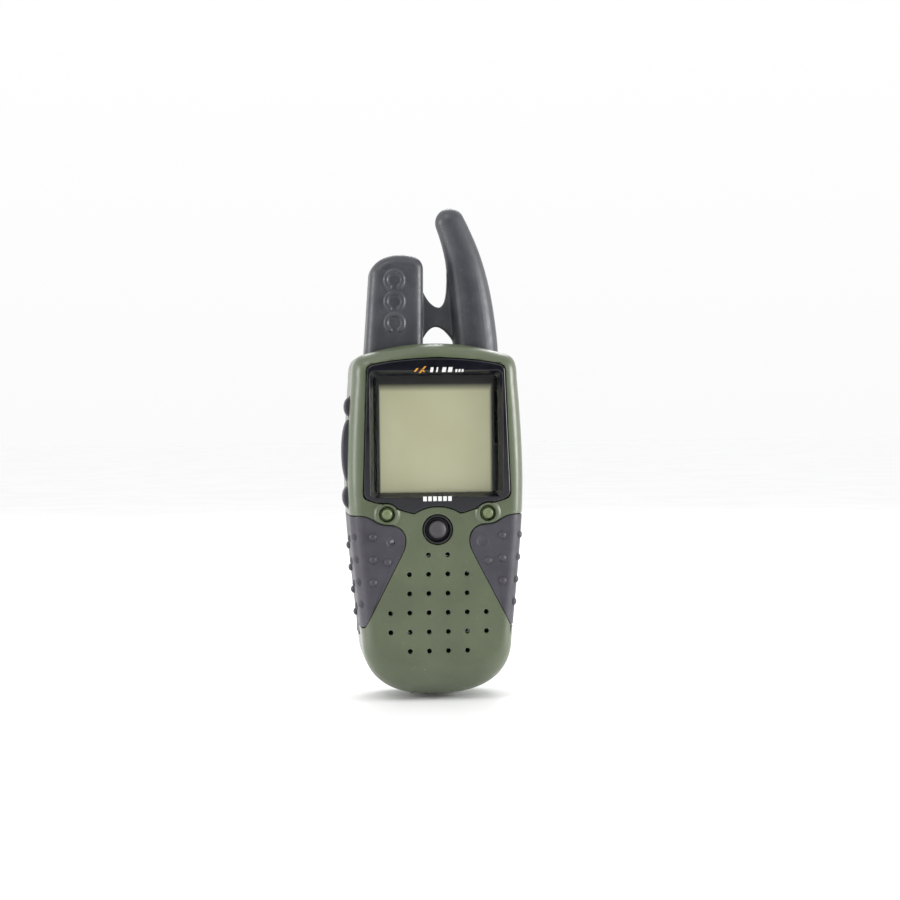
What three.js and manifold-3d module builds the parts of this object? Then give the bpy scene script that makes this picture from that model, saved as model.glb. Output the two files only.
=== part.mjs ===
// A handheld two-way radio with a satellite navigator, in millimetres.
// +X is the viewer's right, +Z runs up towards the antennas, the screen looks along -Y.
// Sizes are first given in the case's own frame: x = 0 is the middle, y = 0 is the plane where the
// two case halves meet and z = 0 is the lowest point of the case. The whole part is then moved so
// that its origin is the middle of the belt clip button's flat rear face.
import * as THREE from "three";
import { LoftGeometry } from "three/addons/geometries/LoftGeometry.js";
import { mergeVertices } from "three/addons/utils/BufferGeometryUtils.js";
import Module from "manifold-3d";

const wasm = await Module();
wasm.setup();

// ---------------------------------------------------------------- driving dimensions

// Case
const caseWidth = 56.6;
const caseHeight = 114;
const frontDepth = 16;
const rearDepth = 19.5;
const caseWall = 2.4;
const chinTaper = 4.2;
const chinHeight = 16;
const chinFlat = 0.5;
const chinFullness = 0.93;
const waistHeight = 70;
const shoulderTaper = 1.6;
const crownRise = 3.3;
const shoulderDrop = 11;
const edgeWidth = 4.5;
const edgeDepth = 6;
const chinWidth = 12;
const chinDepth = 13;
const rearChinWidth = 7;
const chinFade = 5;
const seamGap = 0.3;

// Clearances
const fitGap = 0.3;
const looseGap = 0.4;

// Screen
const lensTopWidth = 44.2;
const lensBottomWidth = 47;
const lensTopDrop = 5;
const lensBottomDrop = 49.6;
const lensProud = 0.4;
const recessWidth = 39.8;
const recessTopDrop = 10.4;
const recessBottomDrop = 47.9;
const recessFlare = 1.5;
const windowThickness = 1;
const windowMargin = 0.8;
const lcdWidth = 38;
const lcdThickness = 1.7;
const backlightThickness = 2.4;

// Front keys and stick
const frontKeySpread = 16.2;
const frontKeyDrop = 54.6;
const frontKeyRadius = 1.7;
const frontKeyHoleRadius = 2.5;
const frontKeyBulgeRadius = 3.6;
const frontKeyBulgeRise = 0.8;
const frontKeyTravel = 0.6;
const stickDrop = 59.7;
const stickWellRadius = 4.6;
const stickCapRadius = 2.85;
const stickCapRise = 1.1;
const stickTravel = 0.4;
const stickPivotDepth = 6;
const stickCapSink = 1.4;
const stickBoxHalf = 5;
const stickBoxWall = 0.8;
const stickPinRadius = 0.35;
const stickStemRadius = 0.9;
const yokeHalf = 2.4;
const yokeInner = 1.5;
const keyBoardSetBack = 9.6;
const keyBoardThickness = 1;
const keyDomeHeight = 0.7;

// Side keys, each by the middle of its height below the top of the case, its length and its rise
const sideKeys = [
  { name: "side_key_upper", drop: 20.2, length: 6.4, rise: 1.7 },
  { name: "talk_key", drop: 34.6, length: 20.4, rise: 1.9 },
  { name: "side_key_lower", drop: 49.2, length: 7.2, rise: 1.7 },
];
const sideKeyBreadth = 5.6;
const sideKeySetBack = 5.5;
const sideKeyTravel = 0.9;
const sideKeyFlange = 0.8;

// Speaker, its grille and the microphone
const speakerHeight = 31;
const speakerRadius = 15.5;
const speakerDepth = 5.6;
const grilleHoleRadius = 0.75;
const grillePitch = 6.15;
const grilleTop = 46.2;
const grilleRows = [2, 4, 4, 6, 6, 4];
const microphoneSpread = 14.5;
const microphoneHeight = 50.5;
const microphoneRadius = 2;

// Side grips
const gripThickness = 1.1;
const gripTop = 58.8;
const gripLobe = 10.4;
const gripFoot = 23.5;
const gripRearInset = 4;
const bumpRadius = 1.25;
const bumpRise = 0.8;
const bumpPitch = 7.3;
const bumpTopDrop = 6.6;
const dimpleDepth = 0.4;
const dimpleRadius = 2;

// Antennas
const antennaSetBack = 5;
const navAntennaDepth = 16;
const navAntennaLeft = 22.1;
const navAntennaRight = 2.7;
const webMiddle = 2.1;
const navAntennaRise = 29.5;
const navAntennaEdge = 3.5;
const hornSquash = 0.95;
const webThickness = 3.2;
const footFlangeThickness = 2;

// Electronics
const boardThickness = 1.6;
const boardHalfWidth = 19.4;
const boardBottom = 10;
const boardTopDrop = 11;
const boardSetBack = 6.4;
const shieldSkin = 0.4;
const shieldHeight = 2.6;
const magnetRadius = 8;
const navElementRadius = 4.2;
const hornElementRadius = 2.4;
const hornBoreRadius = 3.2;

// Cells, their compartment and its door
const cellDiameter = 14.5;
const cellLength = 50.5;
const cellCount = 3;
const trayWall = 1.4;
const contactRoom = 1.4;
const latchHeight = 17;
const latchCupRadius = 7.6;
const latchCupWall = 1.4;
const latchPocketDepth = 2;
const latchDiscRadius = 5.9;
const latchDiscThickness = 1.3;
const latchShaftRadius = 2.2;
const latchTongueReach = 6.2;
const doorThickness = 2.2;
const doorBottom = 9;
const doorSideLap = 0.05;
const hingePinRadius = 1;
const hingePinLength = 1.6;
const ringWire = 1.4;
const ringRadius = 4.6;

// Ports on the right side
const portDrop = 24.5;
const portCapLength = 17;
const portCapBreadth = 9;
const portCapThickness = 1.5;
const portSetBack = 7;
const dataSocketRadius = 3.4;
const dataBoreRadius = 2.7;
const headsetSocketRadius = 2.5;
const headsetBoreRadius = 1.3;
const socketLength = 8;

// Belt clip button
const buttonDrop = 20;
const buttonHeadRadius = 6;
const buttonHeadThickness = 2.2;
const buttonNeckRadius = 3.6;
const buttonNeckLength = 2.3;

// The small foot tab under the chin
const tabWidth = 15;
const tabBreadth = 6;
const tabSetBack = 5;
const tabDrop = 0.9;

// Screws and their bosses
const bossRadius = 2.4;
const screwRadius = 1;
const screwHeadRadius = 1.9;
const screwHeadThickness = 1.4;
const screwHeadSink = 1;
const lowScrewSink = 1.2;
const bossWebThickness = 1.6;
const topBossSpread = 22.4;
const topBossDrop = 13;
const lowBossSpread = 14.5;
const lowBossHeight = 15.5;

// ---------------------------------------------------------------- derived places

const halfWidth = caseWidth / 2;
const middleHeight = caseHeight / 2;
const chinHalf = halfWidth - chinTaper;
const navAntennaMiddle = -(navAntennaLeft + navAntennaRight) / 2;
const frontFace = -frontDepth;
const frontInner = frontFace + caseWall;
const rearInner = rearDepth - caseWall;
const bezelBack = frontInner + 0.2;
const windowFront = bezelBack + fitGap;
const windowBack = windowFront + windowThickness;
const lcdFront = windowBack + 0.2;
const lcdBack = lcdFront + lcdThickness;
const backlightFront = lcdBack + fitGap;
const backlightBack = backlightFront + backlightThickness;
const boardFront = -boardSetBack;
const boardBack = boardFront + boardThickness;
const stickHeight = caseHeight - stickDrop;
const stickPivot = frontFace + stickPivotDepth;
const frontKeyHeight = caseHeight - frontKeyDrop;
const buttonHeight = caseHeight - buttonDrop;
const buttonFront = rearDepth + fitGap;
const buttonRear = buttonFront + buttonNeckLength + buttonHeadThickness;
const doorInner = rearDepth - doorThickness;
const cupFront = doorInner - latchPocketDepth - latchCupWall;
const ringPlane = doorInner - latchPocketDepth + latchDiscThickness + ringWire / 2 + 2 * fitGap;
const cellPitch = cellDiameter + looseGap;
const trayHalfWidth = (cellCount * cellPitch) / 2 + fitGap;
const doorHalfWidth = trayHalfWidth + doorSideLap;
const trayBottom = latchHeight + latchCupRadius + fitGap + trayWall;
const trayTop = trayBottom + cellLength + 2 * contactRoom;
const trayFloor = doorInner - fitGap - cellDiameter - fitGap;
const cellBottom = trayBottom + contactRoom;
const hingeHeight = trayTop + 0.2;
const portHeight = caseHeight - portDrop;
const portFloor = halfWidth - portCapThickness - fitGap;
const hingePinReach = doorHalfWidth + hingePinLength;
const keyBoardFront = -keyBoardSetBack;
const keyDomeFront = keyBoardFront - keyDomeHeight;
const stickBoxFront = stickPivot - 1.6;
const stickBoxBack = boardFront - fitGap;
const stickFloor = stickBoxBack - 0.5;
const stickPinHole = stickPinRadius + fitGap;
const capBottom = frontInner - stickCapSink;
const speakerFront = frontInner + fitGap;
const topHeadSeat = rearDepth - screwHeadSink - screwHeadThickness;
const lowBossEnd = doorInner - lowScrewSink - screwHeadThickness;
const far = 400;

// ---------------------------------------------------------------- solids and how they are made

// A closed geometry as a manifold solid with its faces turned outwards.
function solid(geometry) {
  const bare = new THREE.BufferGeometry();
  bare.setAttribute("position", geometry.getAttribute("position"));
  bare.setIndex(geometry.index);
  const merged = mergeVertices(bare, 1e-4);
  const corners = merged.index.array;
  const triangles = [];
  for (let i = 0; i < corners.length; i += 3) {
    const [a, b, c] = corners.slice(i, i + 3);
    if (a !== b && b !== c && c !== a) triangles.push(a, b, c);
  }
  const build = (list) =>
    new wasm.Manifold(
      new wasm.Mesh({
        numProp: 3,
        vertProperties: new Float32Array(merged.attributes.position.array),
        triVerts: new Uint32Array(list),
      }),
    );
  const made = build(triangles);
  return made.volume() > 0 ? made : build(triangles.reverse());
}

// A finished sub-part: the solid as a mesh with its own name and material.
function subPart(name, shape, material) {
  const data = shape.getMesh();
  const positions = new Float32Array(data.numVert * 3);
  for (let i = 0; i < data.numVert; i++) {
    positions.set(data.vertProperties.subarray(i * data.numProp, i * data.numProp + 3), i * 3);
  }
  const geometry = new THREE.BufferGeometry();
  geometry.setAttribute("position", new THREE.BufferAttribute(positions, 3));
  geometry.setIndex(new THREE.BufferAttribute(new Uint32Array(data.triVerts), 1));
  geometry.computeVertexNormals();
  const mesh = new THREE.Mesh(geometry, material);
  mesh.name = name;
  return mesh;
}

// A solid skinned over a row of closed sections, with flat ends.
function loft(sections) {
  const [first] = sections;
  const last = sections[sections.length - 1];
  const facing = new THREE.Vector3();
  const middle = (section) =>
    section.reduce((sum, point) => sum.add(point), new THREE.Vector3()).divideScalar(section.length);
  const centre = middle(first);
  first.forEach((point, i) => {
    const next = first[(i + 1) % first.length];
    facing.add(point.clone().sub(centre).cross(next.clone().sub(centre)));
  });
  const forwards = facing.dot(middle(last).sub(centre)) > 0;
  const rows = forwards ? sections : sections.map((section) => [...section].reverse());
  return solid(new LoftGeometry(rows, { capStart: true, capEnd: true }));
}

function join(shapes) {
  return shapes.reduce((whole, shape) => whole.add(shape));
}

function cut(body, shapes) {
  return shapes.reduce((rest, shape) => rest.subtract(shape), body);
}

// A block between two corners.
function block([x0, x1], [y0, y1], [z0, z1]) {
  const geometry = new THREE.BoxGeometry(x1 - x0, y1 - y0, z1 - z0);
  geometry.translate((x0 + x1) / 2, (y0 + y1) / 2, (z0 + z1) / 2);
  return solid(geometry);
}

// A round bar between two points.
function bar(radius, from, to, sides = 16) {
  const start = new THREE.Vector3(...from);
  const end = new THREE.Vector3(...to);
  const way = end.clone().sub(start);
  const geometry = new THREE.CylinderGeometry(radius, radius, way.length(), sides);
  const turn = new THREE.Quaternion().setFromUnitVectors(
    new THREE.Vector3(0, 1, 0),
    way.clone().normalize(),
  );
  geometry.applyQuaternion(turn);
  geometry.translate(...start.add(end).multiplyScalar(0.5).toArray());
  return solid(geometry);
}

// An outline drawn in x and z, given a thickness from y0 to y1.
function plate(outline, y0, y1, options = {}) {
  const bevel = options.bevelEnabled ? options.bevelThickness : 0;
  const geometry = new THREE.ExtrudeGeometry(outline, {
    depth: y1 - y0 - 2 * bevel,
    bevelEnabled: false,
    curveSegments: 4,
    ...options,
  });
  geometry.applyMatrix4(
    new THREE.Matrix4().makeBasis(
      new THREE.Vector3(1, 0, 0),
      new THREE.Vector3(0, 0, 1),
      new THREE.Vector3(0, -1, 0),
    ),
  );
  geometry.translate(0, y1 - bevel, 0);
  return solid(geometry);
}

// A profile of [radius, y] pairs turned about the line along Y through (x, z).
function turned(profile, x, z, sides = 16) {
  const points = profile.map(([radius, y]) => new THREE.Vector2(radius, y));
  const geometry = new THREE.LatheGeometry(points, sides);
  geometry.translate(x, 0, z);
  return solid(geometry);
}

function roundedRectangle([x0, x1], [z0, z1], radius, lowerRadius = radius) {
  const shape = new THREE.Shape();
  const quarter = Math.PI / 2;
  shape.absarc(x1 - lowerRadius, z0 + lowerRadius, lowerRadius, -quarter, 0);
  shape.absarc(x1 - radius, z1 - radius, radius, 0, quarter);
  shape.absarc(x0 + radius, z1 - radius, radius, quarter, 2 * quarter);
  shape.absarc(x0 + lowerRadius, z0 + lowerRadius, lowerRadius, 2 * quarter, 3 * quarter);
  shape.closePath();
  return shape;
}

function layer(y0, y1) {
  return block([-far, far], [y0, y1], [-far, far]);
}

// ---------------------------------------------------------------- case form

// Half of the case's outline, from the middle of its bottom to the middle of its top.
function halfOutline() {
  const at = (x, z) => new THREE.Vector2(x, z);
  const shoulder = halfWidth - shoulderTaper;
  const crownEdge = caseHeight - crownRise;
  const stretches = [
    [
      new THREE.CubicBezierCurve(
        at(0, 0),
        at(chinFlat * chinHalf, 0),
        at(chinFullness * chinHalf, 0.28 * chinHeight),
        at(chinHalf, chinHeight),
      ),
      6,
    ],
    [
      new THREE.CubicBezierCurve(
        at(chinHalf, chinHeight),
        at(chinHalf + 0.9, 0.26 * caseHeight),
        at(halfWidth - 0.1, 0.45 * caseHeight),
        at(halfWidth, waistHeight),
      ),
      3,
    ],
    [
      new THREE.QuadraticBezierCurve(
        at(halfWidth, waistHeight),
        at(halfWidth, waistHeight + 14),
        at(shoulder, caseHeight - shoulderDrop),
      ),
      3,
    ],
    [
      new THREE.CubicBezierCurve(
        at(shoulder, caseHeight - shoulderDrop),
        at(shoulder, caseHeight - 5.5),
        at(shoulder - 1.2, caseHeight - 4.1),
        at(shoulder - 4.5, crownEdge),
      ),
      4,
    ],
    [
      new THREE.QuadraticBezierCurve(
        at(shoulder - 4.5, crownEdge),
        at(0.4 * halfWidth, caseHeight),
        at(0, caseHeight),
      ),
      3,
    ],
  ];
  const points = [];
  for (const [curve, steps] of stretches) points.push(...curve.getPoints(steps).slice(0, -1));
  points.push(at(0, caseHeight));
  return points;
}

const rightHalf = halfOutline();
const wholeOutline = [
  ...rightHalf,
  ...rightHalf
    .slice(1, -1)
    .reverse()
    .map((point) => new THREE.Vector2(-point.x, point.y)),
];

// The case's half width at a height.
function halfWidthAt(height) {
  const above = rightHalf.findIndex((point) => point.y > height);
  const high = rightHalf[above];
  const low = rightHalf[above - 1];
  return THREE.MathUtils.mapLinear(height, low.y, high.y, low.x, high.x);
}

// An outline point moved inwards by a distance, both across and along the case.
function movedIn(point, distance) {
  return new THREE.Vector2(
    point.x * (1 - distance / halfWidth),
    middleHeight + (point.y - middleHeight) * (1 - distance / middleHeight),
  );
}

// The size of the edge rounding at a height: larger towards the chin.
function rounding(height, side) {
  const share = Math.exp(-height / chinFade);
  const chin = side < 0 ? [chinWidth, chinDepth] : [rearChinWidth, rearChinWidth];
  return {
    width: edgeWidth + (chin[0] - edgeWidth) * share,
    depth: edgeDepth + (chin[1] - edgeDepth) * share,
  };
}

// A point of the case's surface: side is -1 on the front half and 1 on the rear half, and the turn
// runs from 0 on the side wall to a quarter turn on the face.
function surfacePoint(point, side, turn, inset = 0) {
  const depth = (side < 0 ? frontDepth : rearDepth) - inset;
  const edge = rounding(point.y, side);
  const moved = movedIn(point, inset + (edge.width - inset) * (1 - Math.cos(turn)));
  const y = side * (depth - (edge.depth - inset) * (1 - Math.sin(turn)));
  return new THREE.Vector3(moved.x, y, moved.y);
}

// The whole case as one solid, moved in by a distance all over.
function caseSolid(inset) {
  const turns = [1, 0.72, 0.44, 0.2, 0].map((share) => (share * Math.PI) / 2);
  const sections = [];
  for (const turn of turns) sections.push(wholeOutline.map((point) => surfacePoint(point, -1, turn, inset)));
  for (const turn of [...turns].reverse()) {
    sections.push(wholeOutline.map((point) => surfacePoint(point, 1, turn, inset)));
  }
  return loft(sections);
}

const outerCase = caseSolid(0);
const innerCase = caseSolid(caseWall);

// ---------------------------------------------------------------- grips

// The right grip's outline on the front; the left one is its mirror image.
function gripOutline(side, grow) {
  const shape = new THREE.Shape();
  const lobe = gripLobe - grow;
  const top = gripTop + grow;
  const foot = gripFoot - grow;
  const outside = halfWidth + 6;
  shape.moveTo(side * outside, foot - 4);
  shape.lineTo(side * outside, top);
  shape.lineTo(side * (lobe + 14.6), top);
  shape.bezierCurveTo(
    side * (lobe + 10.6),
    top - 0.2,
    side * (lobe + 9.6),
    top - 2.8,
    side * (lobe + 6.1),
    top - 2.9,
  );
  shape.bezierCurveTo(side * (lobe + 2), top - 3, side * lobe, top - 5.2, side * lobe, top - 8.2);
  shape.bezierCurveTo(
    side * lobe,
    top - 10.3,
    side * (lobe + 0.8),
    top - 11.8,
    side * (lobe + 1.6),
    top - 13.3,
  );
  shape.lineTo(side * (chinHalf - 0.8), foot);
  shape.closePath();
  return shape;
}

function gripRegion(side, grow) {
  const inner = halfWidth - gripRearInset - grow;
  const across = [side * inner, side * (halfWidth + 6)].sort((a, b) => a - b);
  return join([
    plate(gripOutline(side, grow), -far, 0.5),
    block(across, [0, rearDepth - edgeDepth + grow], [gripFoot - 4 - grow, gripTop + grow]),
  ]);
}

// One small rubber dome standing on a surface.
function bump(position, normal) {
  const profile = [
    [0, -0.5],
    [bumpRadius, -0.5],
    [bumpRadius, 0.1],
    [0.7 * bumpRadius, 0.65 * bumpRise],
    [0, bumpRise],
  ].map(([radius, height]) => new THREE.Vector2(radius, height));
  const geometry = new THREE.LatheGeometry(profile, 6);
  geometry.applyQuaternion(
    new THREE.Quaternion().setFromUnitVectors(new THREE.Vector3(0, 1, 0), normal),
  );
  geometry.translate(position.x, position.y, position.z);
  return solid(geometry);
}

// Bumps in staggered rows: columns on the front, round the edge and along the side.
function gripBumps(side) {
  const bumps = [];
  const rows = [0, 1, 2, 3].map((row) => gripTop - bumpTopDrop - row * bumpPitch);
  const forwards = new THREE.Vector3(0, -1, 0);
  for (const height of rows.slice(0, 3)) {
    bumps.push(bump(new THREE.Vector3(side * (halfWidth - 7.5), frontFace, height), forwards));
  }
  bumps.push(bump(new THREE.Vector3(side * (gripLobe + 5.8), frontFace, rows[1] - 0.8), forwards));
  for (const height of rows) {
    const low = height - bumpPitch / 2 + 3.6;
    const edge = surfacePoint(new THREE.Vector2(halfWidthAt(low), low), -1, Math.PI / 5);
    edge.x *= side;
    const outwards = new THREE.Vector3(side * Math.cos(Math.PI / 5), -Math.sin(Math.PI / 5), 0);
    bumps.push(bump(edge, outwards));
    const flank = new THREE.Vector3(side * halfWidthAt(height - 1), -3, height - 1);
    bumps.push(bump(flank, new THREE.Vector3(side, 0, 0)));
    const back = new THREE.Vector3(side * halfWidthAt(low), 5, height - bumpPitch / 2);
    bumps.push(bump(back, new THREE.Vector3(side, 0, 0)));
  }
  return bumps;
}

function grip(side) {
  const skin = outerCase.subtract(caseSolid(gripThickness)).intersect(gripRegion(side, 0));
  const whole = join([skin, ...gripBumps(side)]);
  if (side < 0) {
    const hole = bar(
      grilleHoleRadius,
      [-microphoneSpread, -far, microphoneHeight],
      [-microphoneSpread, 0, microphoneHeight],
      8,
    );
    return whole.subtract(hole);
  }
  const floor = frontFace + dimpleDepth;
  return whole.subtract(
    turned([[0, frontFace - 2], [dimpleRadius, frontFace - 2], [dimpleRadius, floor], [0, floor]],
      microphoneSpread, microphoneHeight, 12),
  );
}

const gripSpaces = [-1, 1].map((side) =>
  gripRegion(side, fitGap).subtract(caseSolid(gripThickness + fitGap)),
);

// ---------------------------------------------------------------- screen

// The outline of the black screen bezel, grown by a clearance.
function lensOutline(grow = 0) {
  const top = caseHeight - lensTopDrop + grow;
  const foot = caseHeight - lensBottomDrop - grow;
  const upper = lensTopWidth / 2 + grow;
  const lower = lensBottomWidth / 2 + grow;
  const notch = 7.4;
  const shape = new THREE.Shape();
  shape.moveTo(0, foot - 2.6);
  shape.quadraticCurveTo(0.55 * notch, foot - 2.6, notch, foot - 4.8);
  shape.quadraticCurveTo(notch + 1.4, foot - 4.6, frontKeySpread - 3.2, foot - 3.1);
  shape.quadraticCurveTo(frontKeySpread - 1.4, foot - 1, frontKeySpread + 1.4, foot - 1.5);
  shape.quadraticCurveTo(frontKeySpread + 4, foot - 1.2, lower - 1, foot);
  shape.quadraticCurveTo(lower, foot + 0.6, lower, foot + 2.4);
  shape.lineTo(upper, top - 4.2);
  shape.quadraticCurveTo(upper, top - 2.3, upper - 2.4, top - 1.9);
  shape.quadraticCurveTo(0.5 * upper, top, 0, top);
  shape.quadraticCurveTo(-0.5 * upper, top, -upper + 2.4, top - 1.9);
  shape.quadraticCurveTo(-upper, top - 2.3, -upper, top - 4.2);
  shape.lineTo(-lower, foot + 2.4);
  shape.quadraticCurveTo(-lower, foot + 0.6, -lower + 1, foot);
  shape.quadraticCurveTo(-frontKeySpread - 4, foot - 1.2, -frontKeySpread - 1.4, foot - 1.5);
  shape.quadraticCurveTo(-frontKeySpread + 1.4, foot - 1, -frontKeySpread + 3.2, foot - 3.1);
  shape.quadraticCurveTo(-notch - 1.4, foot - 4.6, -notch, foot - 4.8);
  shape.quadraticCurveTo(-0.55 * notch, foot - 2.6, 0, foot - 2.6);
  return shape;
}

// The sloping sides of the recess in front of the window.
function recessFunnel() {
  const ring = (y, flare) => {
    const across = recessWidth / 2 + flare;
    const low = caseHeight - recessBottomDrop - flare;
    const high = caseHeight - recessTopDrop + flare;
    return roundedRectangle([-across, across], [low, high], 2)
      .getPoints(3)
      .slice(0, -1)
      .map((point) => new THREE.Vector3(point.x, y, point.y));
  };
  const slope = recessFlare / (bezelBack - frontFace + lensProud);
  const over = 1;
  return loft([
    ring(frontFace - lensProud - over, recessFlare + over * slope),
    ring(bezelBack + over, -over * slope),
  ]);
}

function screenBezel() {
  return plate(lensOutline(), frontFace - lensProud, bezelBack).subtract(recessFunnel());
}

function screenWindow() {
  const half = recessWidth / 2 + windowMargin;
  const low = caseHeight - recessBottomDrop - windowMargin;
  const high = caseHeight - recessTopDrop + windowMargin;
  return plate(roundedRectangle([-half, half], [low, high], 1.5), windowFront, windowBack);
}

// A flat layer of the display behind the window.
function displayBlock(y0, y1) {
  return block(
    [-lcdWidth / 2, lcdWidth / 2],
    [y0, y1],
    [caseHeight - recessBottomDrop - 0.6, caseHeight - recessTopDrop + 0.6],
  );
}

// ---------------------------------------------------------------- antennas

// The right antenna's centre line as [x, height above the case, half width].
const hornStations = [
  [15.1, -8, 7.5],
  [15.1, 0, 7.45],
  [13.9, 12, 7.2],
  [12.6, 21.4, 6.6],
  [11, 29.3, 5.8],
  [8.8, 36, 5.2],
  [7.1, 40.2, 4.9],
];

function hornSolid() {
  const sides = 16;
  const centres = hornStations.map(([x, rise]) => new THREE.Vector3(x, 0, caseHeight + rise));
  const ring = (centre, along, radius) => {
    const across = new THREE.Vector3(along.z, 0, -along.x);
    return Array.from({ length: sides }, (_, i) => {
      const turn = (2 * Math.PI * i) / sides;
      return centre
        .clone()
        .addScaledVector(across, radius * Math.cos(turn))
        .add(new THREE.Vector3(0, antennaSetBack + hornSquash * radius * Math.sin(turn), 0));
    });
  };
  const directionAt = (i) =>
    centres[Math.min(i + 1, centres.length - 1)].clone().sub(centres[Math.max(i - 1, 0)]).normalize();
  const sections = hornStations.map(([, , radius], i) => ring(centres[i], directionAt(i), radius));
  const last = centres.length - 1;
  const tipRadius = hornStations[last][2];
  for (const turn of [0.35, 0.7, 1.05, 1.4]) {
    const centre = centres[last].clone().addScaledVector(directionAt(last), tipRadius * Math.sin(turn));
    sections.push(ring(centre, directionAt(last), tipRadius * Math.cos(turn)));
  }
  return loft(sections);
}

// A round rod that follows the right antenna's centre line between two of its stations.
function hornCore(radius, first, last) {
  const points = hornStations
    .slice(first, last)
    .map(([x, rise]) => new THREE.Vector3(x, antennaSetBack, caseHeight + rise));
  const outline = new THREE.Shape().absarc(0, 0, radius, 0, 2 * Math.PI);
  return solid(
    new THREE.ExtrudeGeometry(outline, {
      steps: 6,
      curveSegments: 8,
      extrudePath: new THREE.CatmullRomCurve3(points),
    }),
  );
}

function navAntennaSolid() {
  const foot = caseHeight - 8;
  const top = caseHeight + navAntennaRise;
  const shape = new THREE.Shape();
  shape.moveTo(-navAntennaRight, foot);
  shape.lineTo(-navAntennaRight + 0.4, top - 5);
  const right = -navAntennaRight + 0.4;
  const left = -navAntennaLeft + 2.3;
  shape.bezierCurveTo(right, top - 1, navAntennaMiddle + 6.5, top, navAntennaMiddle + 2.5, top);
  shape.bezierCurveTo(navAntennaMiddle - 2, top, left + 0.4, top - 2.5, left, top - 6.5);
  shape.lineTo(-navAntennaLeft, foot);
  shape.closePath();
  const front = antennaSetBack - navAntennaDepth / 2;
  return plate(shape, front, front + navAntennaDepth, {
    bevelEnabled: true,
    bevelThickness: navAntennaEdge,
    bevelSize: navAntennaEdge,
    bevelOffset: -navAntennaEdge,
    bevelSegments: 3,
    curveSegments: 5,
  });
}

// The thin web that joins the antennas, with an arch under it.
function antennaWeb() {
  const top = caseHeight;
  const shape = new THREE.Shape();
  shape.moveTo(-6.4, top - 6);
  shape.lineTo(-4.9, top - 6);
  shape.lineTo(-4.9, top + 1);
  shape.bezierCurveTo(-3.2, top + 4.8, -1.4, top + 6, 0, top + 6);
  shape.bezierCurveTo(2, top + 6, 4.4, top + 3.4, 6.1, top + 0.4);
  shape.lineTo(6.4, top - 6);
  shape.lineTo(8, top - 6);
  shape.lineTo(8, top + 24);
  shape.lineTo(3.7, top + 24);
  shape.bezierCurveTo(3.9, top + 15, 2.6, top + 12.4, 0.9, top + 12.4);
  shape.bezierCurveTo(-1.4, top + 12.4, -3.6, top + 15.5, -5.2, top + 20);
  shape.lineTo(-6.4, top + 20);
  shape.closePath();
  const web = plate(shape, antennaSetBack - webThickness / 2, antennaSetBack + webThickness / 2);
  return web.translate(webMiddle, 0, 0);
}

function antennaFlange() {
  const reach = navAntennaDepth / 2 - 0.6;
  return block(
    [-navAntennaLeft - 0.2, hornStations[0][0] + hornStations[0][2] + 0.1],
    [antennaSetBack - reach, antennaSetBack + reach],
    [caseHeight - 10, caseHeight - 10 + footFlangeThickness],
  );
}

const navCavity = block(
  [-navAntennaLeft + 4.6, -navAntennaRight - 3.4],
  [antennaSetBack - 5.2, antennaSetBack + 5.2],
  [caseHeight - 12, caseHeight + navAntennaRise - 6],
);

function antennaCover() {
  return cut(join([navAntennaSolid(), hornSolid(), antennaWeb(), antennaFlange()]), [
    navCavity,
    hornCore(hornBoreRadius, 0, 6),
    bar(hornBoreRadius, [hornStations[0][0], antennaSetBack, caseHeight - 12],
      [hornStations[0][0], antennaSetBack, caseHeight - 6]),
  ]);
}

// The openings in the top of the case that the two antenna feet pass through.
function antennaOpenings() {
  const low = caseHeight - 9;
  const high = caseHeight + 2;
  const reach = navAntennaDepth / 2 + fitGap;
  const hornReach = hornStations[0][2] + fitGap;
  const [hornX] = hornStations[0];
  return join([
    block(
      [-navAntennaLeft - fitGap - 0.1, -navAntennaRight + 0.9],
      [antennaSetBack - reach, antennaSetBack + reach],
      [low, high],
    ),
    bar(hornReach, [hornX, antennaSetBack, low], [hornX, antennaSetBack, high], 24),
  ]);
}

// ---------------------------------------------------------------- case halves

function boss(x, z, y0, y1, radius = bossRadius) {
  return bar(radius, [x, y0, z], [x, y1, z], 12);
}

const topBosses = [-1, 1].map((side) => [side * topBossSpread, caseHeight - topBossDrop]);
const lowBosses = [-1, 1].map((side) => [side * lowBossSpread, lowBossHeight]);

function frontKeyBulge(x) {
  const rise = frontKeyBulgeRise;
  return turned(
    [
      [0, frontInner - 0.6],
      [frontKeyBulgeRadius, frontInner - 0.6],
      [frontKeyBulgeRadius, frontFace],
      [frontKeyBulgeRadius - 0.3, frontFace - 0.7 * rise],
      [frontKeyBulgeRadius - 0.9, frontFace - rise],
      [0, frontFace - rise],
    ],
    x,
    frontKeyHeight,
    20,
  );
}

function grilleHoles() {
  const holes = [];
  grilleRows.forEach((count, row) => {
    const height = grilleTop - row * grillePitch;
    for (let i = 0; i < count; i++) {
      const x = (i - (count - 1) / 2) * grillePitch;
      holes.push(bar(grilleHoleRadius, [x, frontFace - 1, height], [x, frontInner + 0.5, height], 6));
    }
  });
  return holes;
}

function sideKeySlots() {
  return sideKeys.map(({ drop, length }) => {
    const height = caseHeight - drop;
    const half = length / 2 + fitGap;
    const breadth = sideKeyBreadth / 2 + fitGap;
    return block(
      [-halfWidth - 3, -halfWidth + caseWall + 2],
      [-sideKeySetBack - breadth, -sideKeySetBack + breadth],
      [height - half, height + half],
    );
  });
}

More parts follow.
